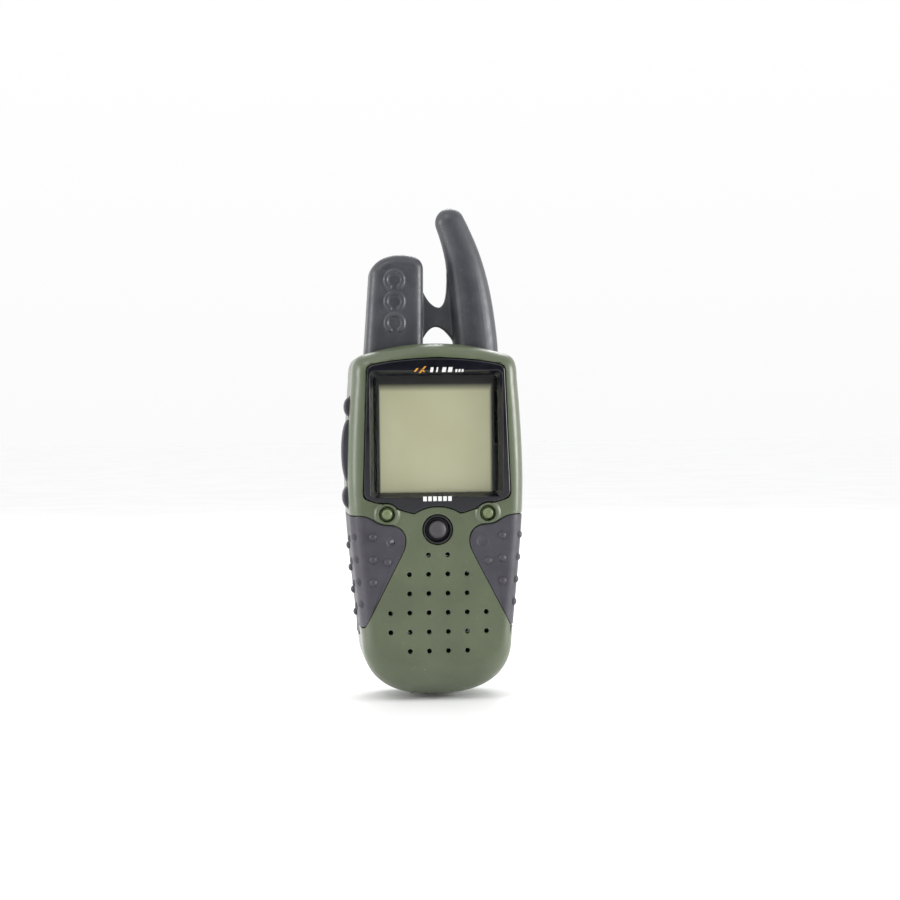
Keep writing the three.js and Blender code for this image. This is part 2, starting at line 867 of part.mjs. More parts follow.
function frontHousing() {
  const rim = -seamGap / 2;
  const shell = outerCase.intersect(layer(-far, rim)).subtract(innerCase);
  const webs = topBosses.map(([x, z]) => {
    const wall = Math.sign(x) * (halfWidthAt(z) - caseWall / 2);
    return block(
      [x, wall].sort((a, b) => a - b),
      [lcdFront, rim],
      [z - bossWebThickness / 2, z + bossWebThickness / 2],
    );
  });
  const added = [
    ...topBosses.map(([x, z]) => boss(x, z, lcdFront, rim)),
    ...webs,
    ...lowBosses.map(([x, z]) => boss(x, z, frontInner - 0.5, rim)),
    ...[-1, 1].map((side) => frontKeyBulge(side * frontKeySpread)),
  ];
  const whole = join([shell, ...added]);
  const removed = [
    ...gripSpaces,
    plate(lensOutline(fitGap), -far, frontInner + 1),
    ...[-1, 1].map((side) =>
      bar(frontKeyHoleRadius, [side * frontKeySpread, -far / 2, frontKeyHeight],
        [side * frontKeySpread, frontInner + 1, frontKeyHeight], 20)),
    bar(stickWellRadius + fitGap, [0, -far / 2, stickHeight], [0, frontInner + 1, stickHeight], 28),
    join(grilleHoles()),
    bar(grilleHoleRadius, [-microphoneSpread, -far / 2, microphoneHeight],
      [-microphoneSpread, frontInner + 1, microphoneHeight], 8),
    ...sideKeySlots(),
    antennaOpenings(),
    ...topBosses.map(([x, z]) => boss(x, z, lcdFront + 2, 1, screwRadius + fitGap)),
    ...lowBosses.map(([x, z]) => boss(x, z, frontInner + 1, 1, screwRadius + fitGap)),
  ];
  return cut(whole, removed);
}

function doorOutline(grow = 0) {
  return roundedRectangle(
    [-doorHalfWidth - grow, doorHalfWidth + grow],
    [doorBottom - grow, hingeHeight],
    0.5,
    12 + grow,
  );
}

function doorBarrel(radius, reach) {
  return bar(radius, [-reach, doorInner, hingeHeight], [reach, doorInner, hingeHeight], 20);
}


function latchSeat() {
  return boss(0, latchHeight, cupFront, doorInner + 0.2, latchCupRadius);
}



function portRecess() {
  const low = portHeight - portCapLength / 2 - fitGap;
  const high = portHeight + portCapLength / 2 - portCapThickness;
  const breadth = portCapBreadth / 2 + fitGap;
  return join([
    block(
      [portFloor, far],
      [portSetBack - breadth, portSetBack + breadth],
      [low, high + portCapThickness + fitGap],
    ),
    bar(portCapThickness + fitGap, [portFloor + fitGap, portSetBack - breadth, high],
      [portFloor + fitGap, portSetBack + breadth, high], 20),
  ]);
}

const sockets = [
  { name: "data_socket", rise: -4.6, radius: dataSocketRadius, bore: dataBoreRadius },
  { name: "headset_socket", rise: 3.4, radius: headsetSocketRadius, bore: headsetBoreRadius },
];

function rearHousing() {
  const rim = seamGap / 2;
  const trayOutside = block(
    [-trayHalfWidth - trayWall, trayHalfWidth + trayWall],
    [trayFloor - trayWall, rearInner + 0.5],
    [trayBottom - trayWall, trayTop + trayWall],
  );
  const portBlock = block(
    [portFloor - 2, halfWidth - caseWall + 0.2],
    [portSetBack - portCapBreadth / 2 - 1, portSetBack + portCapBreadth / 2 + 1],
    [portHeight - portCapLength / 2 - 1, portHeight + portCapLength / 2 + 1.4],
  );
  const buttonSeat = boss(0, buttonHeight, rearInner - 2, rearInner + 0.5, 5);
  const bottomTab = block(
    [-tabWidth / 2, tabWidth / 2],
    [tabSetBack, tabSetBack + tabBreadth],
    [-tabDrop, caseWall - 0.6],
  );
  const shell = outerCase.intersect(layer(rim, far)).subtract(innerCase);
  const whole = join([
    shell,
    trayOutside,
    portBlock,
    buttonSeat,
    bottomTab,
    ...topBosses.map(([x, z]) => boss(x, z, rim, rearInner + 0.5)),
    ...lowBosses.map(([x, z]) => boss(x, z, rim, lowBossEnd)),
    join(lowBosses.map(([x, z]) =>
      block([x - bossWebThickness / 2, x + bossWebThickness / 2], [rim, 8], [1.5, z]))),
  ]).intersect(join([outerCase, bottomTab]));
  const trayInside = block(
    [-trayHalfWidth, trayHalfWidth],
    [trayFloor, rearDepth + 1],
    [trayBottom, trayTop],
  );
  const removed = [
    ...gripSpaces,
    trayInside,
    plate(doorOutline(fitGap), doorInner - 0.3, far),
    plate(roundedRectangle([-doorHalfWidth + 2, doorHalfWidth - 2], [doorBottom + 2, trayBottom - 2], 1, 8),
      lowBossEnd + 0.3, far),
    boss(0, latchHeight, cupFront - fitGap, far / 2, latchCupRadius + fitGap),
    doorBarrel(doorThickness + fitGap, doorHalfWidth + fitGap),
    block(
      [-doorHalfWidth - fitGap, doorHalfWidth + fitGap],
      [doorInner, far],
      [hingeHeight, hingeHeight + doorThickness + fitGap],
    ),
    doorBarrel(hingePinRadius + fitGap, hingePinReach + fitGap),
    portRecess(),
    ...sockets.map(({ rise, radius }) =>
      bar(radius + fitGap, [portFloor - 6, portSetBack, portHeight + rise],
        [far / 2, portSetBack, portHeight + rise], 20)),
    antennaOpenings(),
    boss(0, buttonHeight, rearInner - 4, far / 2, screwRadius + fitGap),
    seamRing(0.6, caseWall + 0.5, 1 + fitGap),
    ...topBosses.map(([x, z]) => boss(x, z, 0, far / 2, screwRadius + fitGap)),
    ...topBosses.map(([x, z]) => boss(x, z, topHeadSeat, far / 2, screwHeadRadius + fitGap)),
    ...lowBosses.map(([x, z]) => boss(x, z, 0, far / 2, screwRadius + fitGap)),
  ];
  return cut(whole, removed);
}

// A ring that follows the case's outline, between two distances in from the surface.
function seamRing(outer, inner, depth) {
  const trace = (distance) => wholeOutline.map((point) => movedIn(point, distance));
  const shape = new THREE.Shape(trace(outer));
  shape.holes.push(new THREE.Path(trace(inner)));
  return plate(shape, seamGap / 2 - seamGap, seamGap / 2 + depth);
}

// The seal between the case halves: it runs round the case below the antennas.
function housingGasket() {
  const ring = seamRing(0.9, caseWall - fitGap, 1).intersect(layer(seamGap / 2, far));
  const antennaRoom = block(
    [-navAntennaLeft - 2, hornStations[0][0] + hornStations[0][2] + 1],
    [-far, far],
    [caseHeight - 12, far],
  );
  return cut(ring, [...gripSpaces, antennaRoom]);
}

// ---------------------------------------------------------------- front keys and stick

function frontKey(side) {
  const tip = frontFace - frontKeyBulgeRise - 0.5;
  const r = frontKeyRadius;
  const flangeFront = frontInner + looseGap;
  return turned(
    [
      [0, tip],
      [0.6 * r, tip + 0.15],
      [r, tip + 0.7],
      [r, frontFace + 1],
      [frontKeyHoleRadius - fitGap, frontFace + 1.1],
      [frontKeyHoleRadius - fitGap, flangeFront],
      [frontKeyHoleRadius + 0.5, flangeFront],
      [frontKeyHoleRadius + 0.5, flangeFront + 0.8],
      [1, flangeFront + 0.8],
      [1, keyDomeFront - frontKeyTravel - 0.2],
      [0, keyDomeFront - frontKeyTravel - 0.2],
    ],
    side * frontKeySpread,
    frontKeyHeight,
    14,
  );
}


function keyDome(side) {
  return turned(
    [
      [0, keyDomeFront],
      [1.2, keyDomeFront],
      [2.2, keyBoardFront - fitGap],
      [0, keyBoardFront - fitGap],
    ],
    side * frontKeySpread,
    frontKeyHeight,
    12,
  );
}

function keyBoard() {
  const high = caseHeight - recessBottomDrop - 2.4;
  const outline = roundedRectangle([-boardHalfWidth, boardHalfWidth], [stickHeight - 7, high], 1);
  const socket = block(
    [-stickBoxHalf - fitGap, stickBoxHalf + fitGap],
    [-far, far],
    [stickHeight - stickBoxHalf - fitGap, stickHeight + stickBoxHalf + fitGap],
  );
  return plate(outline, keyBoardFront, keyBoardFront + keyBoardThickness).subtract(socket);
}


function stickWell() {
  const r = stickWellRadius;
  return turned(
    [
      [r, frontFace + 0.1],
      [r, frontInner + 0.3],
      [r - 2.2, frontInner + 0.3],
      [r - 2.2, frontInner - 0.2],
      [r - 0.7, frontInner - 0.4],
      [r - 0.5, frontFace + 0.1],
      [r, frontFace + 0.1],
    ],
    0,
    stickHeight,
    20,
  );
}

function stickBox() {
  const span = (half) => [-half, half];
  const tall = (half) => [stickHeight - half, stickHeight + half];
  return block(span(stickBoxHalf), [stickBoxFront, stickBoxBack], tall(stickBoxHalf)).subtract(
    block(
      span(stickBoxHalf - stickBoxWall),
      [stickBoxFront - 1, stickFloor],
      tall(stickBoxHalf - stickBoxWall),
    ),
  );
}

function stickPlunger() {
  const plateBack = stickFloor - stickTravel - 0.1;
  const lugs = [-1, 1].map((side) =>
    block([side * 2.8, side * 3.8].sort((a, b) => a - b), [stickPivot - 1.1, plateBack],
      [stickHeight - 1.2, stickHeight + 1.2]));
  const base = block([-3.8, 3.8], [plateBack - 0.6, plateBack], [stickHeight - 3.4, stickHeight + 3.4]);
  const axle = bar(stickPinHole, [-5, stickPivot, stickHeight], [5, stickPivot, stickHeight], 8);
  return cut(join([base, ...lugs]), [axle]);
}

function stickYoke() {
  const ring = (half, y0, y1) =>
    block([-half, half], [y0, y1], [stickHeight - half, stickHeight + half]);
  const body = ring(yokeHalf, stickPivot - 1, stickPivot + 1).subtract(
    ring(yokeInner, stickPivot - 2, stickPivot + 2),
  );
  const pins = [-1, 1].map((side) =>
    bar(stickPinRadius, [side * (yokeInner + 0.2), stickPivot, stickHeight],
      [side * 3.6, stickPivot, stickHeight], 8));
  const hole = bar(stickPinHole, [0, stickPivot, stickHeight - 4], [0, stickPivot, stickHeight + 4], 8);
  return join([body.subtract(hole), ...pins]);
}

function stickStem() {
  const shaft = bar(stickStemRadius, [0, capBottom - 1.2, stickHeight], [0, stickPivot + 0.9, stickHeight], 12);
  const pin = bar(stickPinRadius, [0, stickPivot, stickHeight - 2.2], [0, stickPivot, stickHeight + 2.2], 8);
  return join([shaft, pin]);
}


function stickCap() {
  const top = frontFace - stickCapRise;
  const r = stickCapRadius;
  return turned(
    [
      [0, top],
      [0.45 * r, top + 0.15],
      [0.8 * r, top + 0.6],
      [r, top + 1.4],
      [0.97 * r, capBottom - 0.4],
      [0.85 * r, capBottom],
      [1.2, capBottom],
      [1.2, capBottom - 1.5],
      [0, capBottom - 1.5],
    ],
    0,
    stickHeight,
    14,
  );
}

// ---------------------------------------------------------------- side keys

// The least half width of the case along a side key.
function leastHalfWidth({ drop, length }) {
  const height = caseHeight - drop;
  return Math.min(halfWidthAt(height - length / 2), halfWidthAt(height + length / 2));
}

function sideKey(key) {
  const { drop, length, rise } = key;
  const height = caseHeight - drop;
  const face = -halfWidthAt(height);
  const shoulder = -leastHalfWidth(key) + caseWall + fitGap;
  const half = length / 2;
  const shape = new THREE.Shape();
  shape.moveTo(shoulder, height - half);
  shape.lineTo(shoulder, height + half);
  shape.lineTo(face, height + half);
  shape.bezierCurveTo(
    face - 1.33 * rise,
    height + 0.75 * half,
    face - 1.33 * rise,
    height - 0.75 * half,
    face,
    height - half,
  );
  shape.closePath();
  const y0 = -sideKeySetBack - sideKeyBreadth / 2;
  const y1 = -sideKeySetBack + sideKeyBreadth / 2;
  const flange = block(
    [shoulder, shoulder + sideKeyFlange],
    [y0 - 0.8, y1 + 0.8],
    [height - half, height + half],
  );
  return join([plate(shape, y0, y1), flange]);
}

function sideSwitchBoard() {
  const innermost = Math.min(...sideKeys.map(leastHalfWidth));
  const x0 = -innermost + caseWall + fitGap + sideKeyFlange + sideKeyTravel + fitGap;
  return block(
    [x0, x0 + 0.8],
    [-sideKeySetBack - 3, -sideKeySetBack + 3],
    [caseHeight - 53.4, caseHeight - 16.8],
  );
}

// ---------------------------------------------------------------- inner parts


function speakerBasket() {
  const r = speakerRadius;
  const back = speakerFront + speakerDepth - 2.4;
  return turned(
    [
      [r - 2, speakerFront],
      [r, speakerFront],
      [r, speakerFront + 1],
      [r - 6, back],
      [r - 6.6, back],
      [r - 2, speakerFront + 0.9],
      [r - 2, speakerFront],
    ],
    0,
    speakerHeight,
    16,
  );
}

function speakerCone() {
  const r = speakerRadius - 2 - fitGap;
  return turned(
    [
      [0, speakerFront + 0.9],
      [3, speakerFront + 1.5],
      [r - 1, speakerFront],
      [r, speakerFront],
      [r, speakerFront + 0.3],
      [3, speakerFront + 1.9],
      [0, speakerFront + 1.3],
    ],
    0,
    speakerHeight,
    16,
  );
}

function speakerMagnet() {
  const y0 = speakerFront + speakerDepth - 2.2;
  return bar(magnetRadius, [0, y0, speakerHeight], [0, speakerFront + speakerDepth, speakerHeight], 20);
}

function microphone() {
  const y0 = frontInner + fitGap;
  return bar(microphoneRadius, [-microphoneSpread, y0, microphoneHeight],
    [-microphoneSpread, y0 + 1.6, microphoneHeight], 12);
}

function mainBoard() {
  const outline = roundedRectangle(
    [-boardHalfWidth, boardHalfWidth],
    [boardBottom, caseHeight - boardTopDrop],
    2,
    7,
  );
  const holes = lowBosses.map(([x, z]) => boss(x, z, -far, far, bossRadius + fitGap));
  return cut(plate(outline, boardFront, boardBack), holes);
}

function shieldCan([x0, x1], [z0, z1]) {
  const front = boardBack + fitGap;
  const back = front + shieldHeight;
  return block([x0, x1], [front, back], [z0, z1]).subtract(
    block(
      [x0 + shieldSkin, x1 - shieldSkin],
      [front - 1, back - shieldSkin],
      [z0 + shieldSkin, z1 - shieldSkin],
    ),
  );
}

// ---------------------------------------------------------------- cells, door and latch

function cell(index) {
  const x = (index - (cellCount - 1) / 2) * cellPitch;
  const y = trayFloor + fitGap + cellDiameter / 2;
  const upright = index % 2 === 0;
  const z = (share) => cellBottom + (upright ? share : cellLength - share);
  return join([
    bar(cellDiameter / 2, [x, y, z(0)], [x, y, z(cellLength - 1.2)], 24),
    bar(2.7, [x, y, z(cellLength - 2)], [x, y, z(cellLength)], 12),
  ]);
}

function cellContact(z0, z1) {
  const y = trayFloor + fitGap + cellDiameter / 2;
  const half = trayHalfWidth - 0.8;
  return block([-half, half], [y - 4, y + 4], [z0, z1]);
}

function batteryDoor() {
  const skin = plate(doorOutline(), doorInner, far).intersect(outerCase);
  const barrel = doorBarrel(doorThickness, doorHalfWidth).intersect(layer(doorInner, far));
  const whole = join([skin, barrel, doorBarrel(hingePinRadius, hingePinReach), latchSeat()]);
  const pocketFloor = doorInner - latchPocketDepth;
  return cut(whole, [
    boss(0, latchHeight, pocketFloor, far / 2, latchDiscRadius + fitGap),
    boss(0, latchHeight, 0, far / 2, latchShaftRadius + fitGap),
  ]);
}

function latchRotor() {
  const discFront = doorInner - latchPocketDepth + fitGap;
  const discBack = discFront + latchDiscThickness;
  const disc = boss(0, latchHeight, discFront, discBack, latchDiscRadius);
  const shaft = boss(0, latchHeight, cupFront - fitGap - 0.5, discBack, latchShaftRadius);
  const lug = block([-1.4, 1.4], [discBack - 0.5, ringPlane + ringWire / 2 + 0.9],
    [latchHeight - 1.5, latchHeight + 1.5]);
  const eye = bar(ringWire / 2 + fitGap, [-3, ringPlane, latchHeight], [3, ringPlane, latchHeight], 12);
  return join([disc, shaft, lug]).subtract(eye);
}

function latchTongue() {
  const back = cupFront - fitGap;
  const blade = block([-1.8, 1.8], [back - 1.5, back],
    [latchHeight - latchTongueReach, latchHeight + 3]);
  return blade.subtract(boss(0, latchHeight, back - 0.5 - fitGap, far / 2, latchShaftRadius + fitGap));
}

// The folding ring: a half circle of wire closed by a straight pivot bar.
function pullRing() {
  const sides = 8;
  const section = new THREE.Shape().absarc(0, 0, ringWire / 2, 0, 2 * Math.PI);
  const arc = new THREE.CatmullRomCurve3(
    Array.from({ length: 9 }, (_, i) => {
      const turn = Math.PI + (Math.PI * i) / 8;
      return new THREE.Vector3(
        ringRadius * Math.cos(turn),
        ringPlane,
        latchHeight + ringRadius * Math.sin(turn),
      );
    }),
  );
  const bow = solid(
    new THREE.ExtrudeGeometry(section, { steps: 10, curveSegments: sides / 2, extrudePath: arc }),
  );
  const reach = ringRadius + ringWire / 2;
  const pivot = bar(
    ringWire / 2,
    [-reach, ringPlane, latchHeight],
    [reach, ringPlane, latchHeight],
    sides,
  );
  return join([bow, pivot]);
}

// ---------------------------------------------------------------- ports

function socket({ rise, radius, bore }) {
  const z = portHeight + rise;
  const mouth = portFloor - 0.2;
  return bar(radius, [mouth - socketLength, portSetBack, z], [mouth, portSetBack, z], 20).subtract(
    bar(bore, [mouth - socketLength + 2, portSetBack, z], [far / 2, portSetBack, z], 16),
  );
}

function portCap() {
  const x0 = portFloor + fitGap;
  const low = portHeight - portCapLength / 2;
  const high = portHeight + portCapLength / 2 - portCapThickness;
  const y0 = portSetBack - portCapBreadth / 2;
  const y1 = portSetBack + portCapBreadth / 2;
  return join([
    block([x0, x0 + portCapThickness], [y0, y1], [low, high]),
    bar(portCapThickness, [x0, y0, high], [x0, y1, high], 20).intersect(
      block([x0, far], [y0, y1], [high - 0.5, far]),
    ),
  ]);
}

// ---------------------------------------------------------------- belt clip button and screws

function beltClipButton() {
  const neckEnd = buttonFront + buttonNeckLength;
  return turned(
    [
      [screwRadius + fitGap, buttonFront],
      [buttonNeckRadius, buttonFront],
      [buttonNeckRadius, neckEnd],
      [buttonHeadRadius - 0.5, neckEnd],
      [buttonHeadRadius, neckEnd + 0.5],
      [buttonHeadRadius, buttonRear - 0.6],
      [buttonHeadRadius - 0.6, buttonRear],
      [0, buttonRear],
      [0, neckEnd],
      [screwRadius + fitGap, neckEnd],
      [screwRadius + fitGap, buttonFront],
    ],
    0,
    buttonHeight,
    20,
  );
}

// A screw along Y: its head lies between the seat and one head thickness beyond it.
function screw(x, z, seat, headSide, tip) {
  const headEnd = seat + headSide * screwHeadThickness;
  const slot = block([x - 1.1, x + 1.1], [headEnd - 0.5, headEnd + 0.5], [z - 0.25, z + 0.25]);
  const ys = (a, b) => [Math.min(a, b), Math.max(a, b)];
  const shankEnd = (seat + headEnd) / 2;
  const shank = bar(screwRadius, [x, ys(shankEnd, tip)[0], z], [x, ys(shankEnd, tip)[1], z], 8);
  const head = bar(screwHeadRadius, [x, ys(seat, headEnd)[0], z], [x, ys(seat, headEnd)[1], z], 12);
  return join([head, shank]).subtract(slot);
}

// ---------------------------------------------------------------- materials

function finish(color, roughness, metalness = 0) {
  return new THREE.MeshStandardMaterial({ color, roughness, metalness });
}

const materials = {
  greenPlastic: finish(0x6e7d5f, 0.5),
  rubber: finish(0x4a4850, 0.75),
  antennaRubber: finish(0x505056, 0.5),
  gloss: finish(0x0b0c16, 0.12),
  clear: finish(0xc8cdbf, 0.05),
  display: finish(0xb8b78e, 0.6),
  greenKey: finish(0x96a078, 0.35),
  blackPlastic: finish(0x1c1c1f, 0.5),
  gasket: finish(0x2a2a2c, 0.8),
  circuit: finish(0x1f5a34, 0.45),
  tin: finish(0xb9bcc0, 0.35, 0.9),
  steel: finish(0xa4a6a8, 0.3, 1),
  cone: finish(0x2b2a28, 0.9),
  ceramic: finish(0xc9bda4, 0.6),
  cellWrap: finish(0x3b3f45, 0.35, 0.3),
  copper: finish(0xb4764a, 0.4, 0.9),
};

// ---------------------------------------------------------------- assembly

const device = new THREE.Group();

function place(name, shape, material) {
  device.add(subPart(name, shape, materials[material]));
}

place("front_housing", frontHousing(), "greenPlastic");
place("rear_housing", rearHousing(), "greenPlastic");
place("housing_gasket", housingGasket(), "gasket");
place("left_grip", grip(-1), "rubber");
place("right_grip", grip(1), "rubber");

place("screen_bezel", screenBezel(), "gloss");
place("screen_window", screenWindow(), "clear");
place("lcd_panel", displayBlock(lcdFront, lcdBack), "display");
place("lcd_backlight", displayBlock(backlightFront, backlightBack), "clear");

place("antenna_cover", antennaCover(), "antennaRubber");
place(
  "nav_antenna_element",
  bar(
    navElementRadius,
    [navAntennaMiddle, antennaSetBack, caseHeight - 2],
    [navAntennaMiddle, antennaSetBack, caseHeight + 21],
    16,
  ),
  "ceramic",
);
place("radio_antenna_element", hornCore(hornElementRadius, 1, 5), "copper");

for (const side of [-1, 1]) {
  const label = side < 0 ? "left" : "right";
  place("front_key_" + label, frontKey(side), "greenKey");
  place("key_dome_" + label, keyDome(side), "steel");
}
place("key_board", keyBoard(), "circuit");
place("stick_well", stickWell(), "blackPlastic");
place("stick_switch_box", stickBox(), "blackPlastic");
place("stick_plunger", stickPlunger(), "steel");
place("stick_yoke", stickYoke(), "steel");
place("stick_stem", stickStem(), "steel");
place("stick_cap", stickCap(), "rubber");

for (const key of sideKeys) place(key.name, sideKey(key), "rubber");
place("side_switch_board", sideSwitchBoard(), "circuit");

place("speaker_basket", speakerBasket(), "tin");
place("speaker_cone", speakerCone(), "cone");
place("speaker_magnet", speakerMagnet(), "steel");
place("microphone", microphone(), "tin");
place("main_board", mainBoard(), "circuit");
place("radio_shield", shieldCan([-16, 8], [caseHeight - 42, caseHeight - 14]), "tin");
place("navigator_shield", shieldCan([-16, 12], [28, 62]), "tin");

for (let i = 0; i < cellCount; i++) place("cell_" + (i + 1), cell(i), "cellWrap");
place("cell_contact_lower", cellContact(trayBottom + fitGap, cellBottom - fitGap), "tin");
place("cell_contact_upper", cellContact(trayTop - contactRoom + fitGap, trayTop - fitGap), "tin");
place("battery_door", batteryDoor(), "greenPlastic");
place("latch_rotor", latchRotor(), "blackPlastic");
place("latch_tongue", latchTongue(), "steel");
place("pull_ring", pullRing(), "steel");

place("port_cap", portCap(), "rubber");
for (const each of sockets) place(each.name, socket(each), "blackPlastic");

place("belt_clip_button", beltClipButton(), "blackPlastic");
place("belt_clip_screw", screw(0, buttonHeight, rearInner - 2 - fitGap, -1, buttonFront + 1.8), "steel");
topBosses.forEach(([x, z], i) => {
  place("case_screw_top_" + (i + 1), screw(x, z, topHeadSeat + fitGap, 1, lcdFront + 4), "steel");
});
lowBosses.forEach(([x, z], i) => {
  place("case_screw_low_" + (i + 1), screw(x, z, lowBossEnd + fitGap, 1, frontInner + 3), "steel");
});

const part = new THREE.Group();
device.position.set(0, -buttonRear, -buttonHeight);
part.add(device);

export default part;
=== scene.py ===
"""Looks of a handheld two-way radio with a satellite navigator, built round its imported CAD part.

Shapes are worked out in millimetres in the case's own frame: x runs across, y from front to back with
0 where the case halves meet, and z up from the lowest point of the chin. settle() moves a finished
piece into the part's frame in metres.
"""

import math

import bmesh
import bpy
from mathutils import Matrix, Vector
from mathutils.bvhtree import BVHTree


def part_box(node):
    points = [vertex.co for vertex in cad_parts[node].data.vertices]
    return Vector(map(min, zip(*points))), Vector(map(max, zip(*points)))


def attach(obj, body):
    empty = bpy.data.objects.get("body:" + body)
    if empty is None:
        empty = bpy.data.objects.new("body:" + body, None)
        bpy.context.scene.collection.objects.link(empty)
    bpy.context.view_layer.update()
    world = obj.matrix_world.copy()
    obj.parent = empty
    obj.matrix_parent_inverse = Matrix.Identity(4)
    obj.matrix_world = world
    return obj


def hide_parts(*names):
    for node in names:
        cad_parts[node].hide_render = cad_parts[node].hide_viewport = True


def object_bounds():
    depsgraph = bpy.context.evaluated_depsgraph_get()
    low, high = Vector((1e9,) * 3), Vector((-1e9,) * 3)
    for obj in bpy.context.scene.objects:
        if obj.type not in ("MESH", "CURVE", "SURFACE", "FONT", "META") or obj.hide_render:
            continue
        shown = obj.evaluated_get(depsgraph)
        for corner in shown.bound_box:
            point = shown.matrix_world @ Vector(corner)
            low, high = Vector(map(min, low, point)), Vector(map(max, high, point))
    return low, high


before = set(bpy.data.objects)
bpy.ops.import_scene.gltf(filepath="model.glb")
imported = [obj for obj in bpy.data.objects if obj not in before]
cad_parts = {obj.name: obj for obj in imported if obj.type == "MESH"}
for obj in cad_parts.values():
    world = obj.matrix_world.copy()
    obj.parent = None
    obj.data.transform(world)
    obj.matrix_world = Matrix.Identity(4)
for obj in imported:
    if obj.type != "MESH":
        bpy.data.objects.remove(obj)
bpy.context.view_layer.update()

MM = 0.001

# ---------------------------------------------------------------- sizes shared with the CAD part

CASE_WIDTH = 56.6
CASE_HEIGHT = 114.0
FRONT_DEPTH = 16.0
REAR_DEPTH = 19.5
CASE_WALL = 2.4
CHIN_TAPER = 4.2
CHIN_HEIGHT = 16.0
CHIN_FLAT = 0.5
CHIN_FULLNESS = 0.93
WAIST_HEIGHT = 70.0
SHOULDER_TAPER = 1.6
CROWN_RISE = 3.3
SHOULDER_DROP = 11.0
EDGE = (4.5, 6.0)
FRONT_CHIN = (12.0, 13.0)
REAR_CHIN = (7.0, 7.0)
CHIN_FADE = 5.0
SEAM_GAP = 0.3
FIT_GAP = 0.3

LENS_TOP_WIDTH = 44.2
LENS_BOTTOM_WIDTH = 47.0
LENS_TOP = CASE_HEIGHT - 5.0
LENS_FOOT = CASE_HEIGHT - 49.6
LENS_PROUD = 0.4
RECESS_WIDTH = 39.8
RECESS_TOP = CASE_HEIGHT - 10.4
RECESS_FOOT = CASE_HEIGHT - 47.9
RECESS_FLARE = 1.5
BEZEL_BACK = -13.4
CELL_BAND = 66.0
# The display's active area and fade width. Outside it the display is painted dark: partly its unlit border,
# partly painted shadow of the recess walls at the top and right.
DISPLAY_AREA = (-17.7, 17.4, 66.3, 98.6, 0.5)

KEY_SPREAD = 16.2
KEY_Z = CASE_HEIGHT - 54.6
KEY_RADIUS = 1.7
KEY_HOLE_RADIUS = 2.5
KEY_BULGE_RISE = 0.8
STICK_Z = CASE_HEIGHT - 59.7
STICK_WELL_RADIUS = 4.6
STICK_CAP_RADIUS = 2.85
STICK_CAP_RISE = 1.1
SIDE_KEYS = (
    ("side_key_upper", "upper_side_key", 20.2, 6.4, 1.7),
    ("talk_key", "talk_button", 34.6, 20.4, 1.9),
    ("side_key_lower", "lower_side_key", 49.2, 7.2, 1.7),
)
SIDE_KEY_BREADTH = 5.6
SIDE_KEY_Y = -5.5
GRILLE_TOP = 46.2
GRILLE_PITCH = 6.15
GRILLE_ROWS = (2, 4, 4, 6, 6, 4)
GRILLE_RADIUS = 0.75
MIC_X = 14.5
MIC_Z = 50.5
DIMPLE_RADIUS = 2.0

GRIP_THICKNESS = 1.1
GRIP_TOP = 58.8
GRIP_LOBE = 10.4
GRIP_FOOT = 23.5
GRIP_REAR_INSET = 4.0
BUMP_RADIUS = 1.25
BUMP_RISE = 0.8
BUMP_PITCH = 7.3

ANTENNA_Y = 5.0
NAV_DEPTH = 16.0
NAV_LEFT = 22.1
NAV_RIGHT = 2.7
NAV_MIDDLE = -(NAV_LEFT + NAV_RIGHT) / 2
NAV_RISE = 29.5
NAV_EDGE = 3.5
HORN = (
    (15.1, -8.0, 7.5),
    (15.1, 0.0, 7.45),
    (13.9, 12.0, 7.2),
    (12.6, 21.4, 6.6),
    (11.0, 29.3, 5.8),
    (8.8, 36.0, 5.2),
    (7.1, 40.2, 4.9),
)
HORN_SQUASH = 0.95
WEB_THICKNESS = 3.2
WEB_MIDDLE = 2.1

HALF_WIDTH = CASE_WIDTH / 2
MIDDLE = CASE_HEIGHT / 2
CHIN_HALF = HALF_WIDTH - CHIN_TAPER
FACE = -FRONT_DEPTH
FAR = 60.0

MERGE_REACH = 0.004
CAD_MERGE_REACH = 0.003
EDGE_STEPS = 12
GUIDE_REACH = 0.4
LONGEST_EDGE = 2.2
SAME_WAY = 0.6

# The case frame's origin in the part's frame, from two CAD nodes whose places are known.
ORIGIN = Vector(
    (
        0.0,
        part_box("screen_bezel")[0].y / MM + FRONT_DEPTH + LENS_PROUD,
        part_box("front_housing")[0].z / MM,
    )
)
TO_METRES = Matrix.Scale(MM, 4) @ Matrix.Translation(ORIGIN)
FROM_METRES = TO_METRES.inverted()

# ---------------------------------------------------------------- sizes of detail that only shows

KEY_STEM_END = -11.1
DIMPLE_DEPTH = 0.4
ARC_WIDTH = 1.0
ARC_RISE = 0.6
ARC_RADIUS = 2.8
DOOR_RIBS = 7
DOOR_RIB_FOOT = 36.0
DOOR_RIB_PITCH = 3.4
DOOR_RIB_REACH = 13.0
DOOR_RIB_HALF = 0.6
DOOR_RIB_RISE = 0.35
CAP_GROOVES = 5
CAP_GROOVE_PITCH = 2.2
CAP_GROOVE_REACH = 3.0
CAP_GROOVE_DEPTH = 0.45
CLIP_BUTTON_Z = CASE_HEIGHT - 20.0
RING_WIRE_RADIUS = 0.7
RING_RADIUS = 4.6
LATCH_Z = 17.0

# ---------------------------------------------------------------- mesh helpers


def mesh_object(name, points, faces):
    """A mesh object in the scene, its faces turned outwards."""
    mesh = bpy.data.meshes.new(name)
    mesh.from_pydata([tuple(p) for p in points], [], faces)
    obj = bpy.data.objects.new(name, mesh)
    bpy.context.scene.collection.objects.link(obj)
    work = bmesh.new()
    work.from_mesh(mesh)
    bmesh.ops.recalc_face_normals(work, faces=work.faces)
    work.to_mesh(mesh)
    work.free()
    return obj


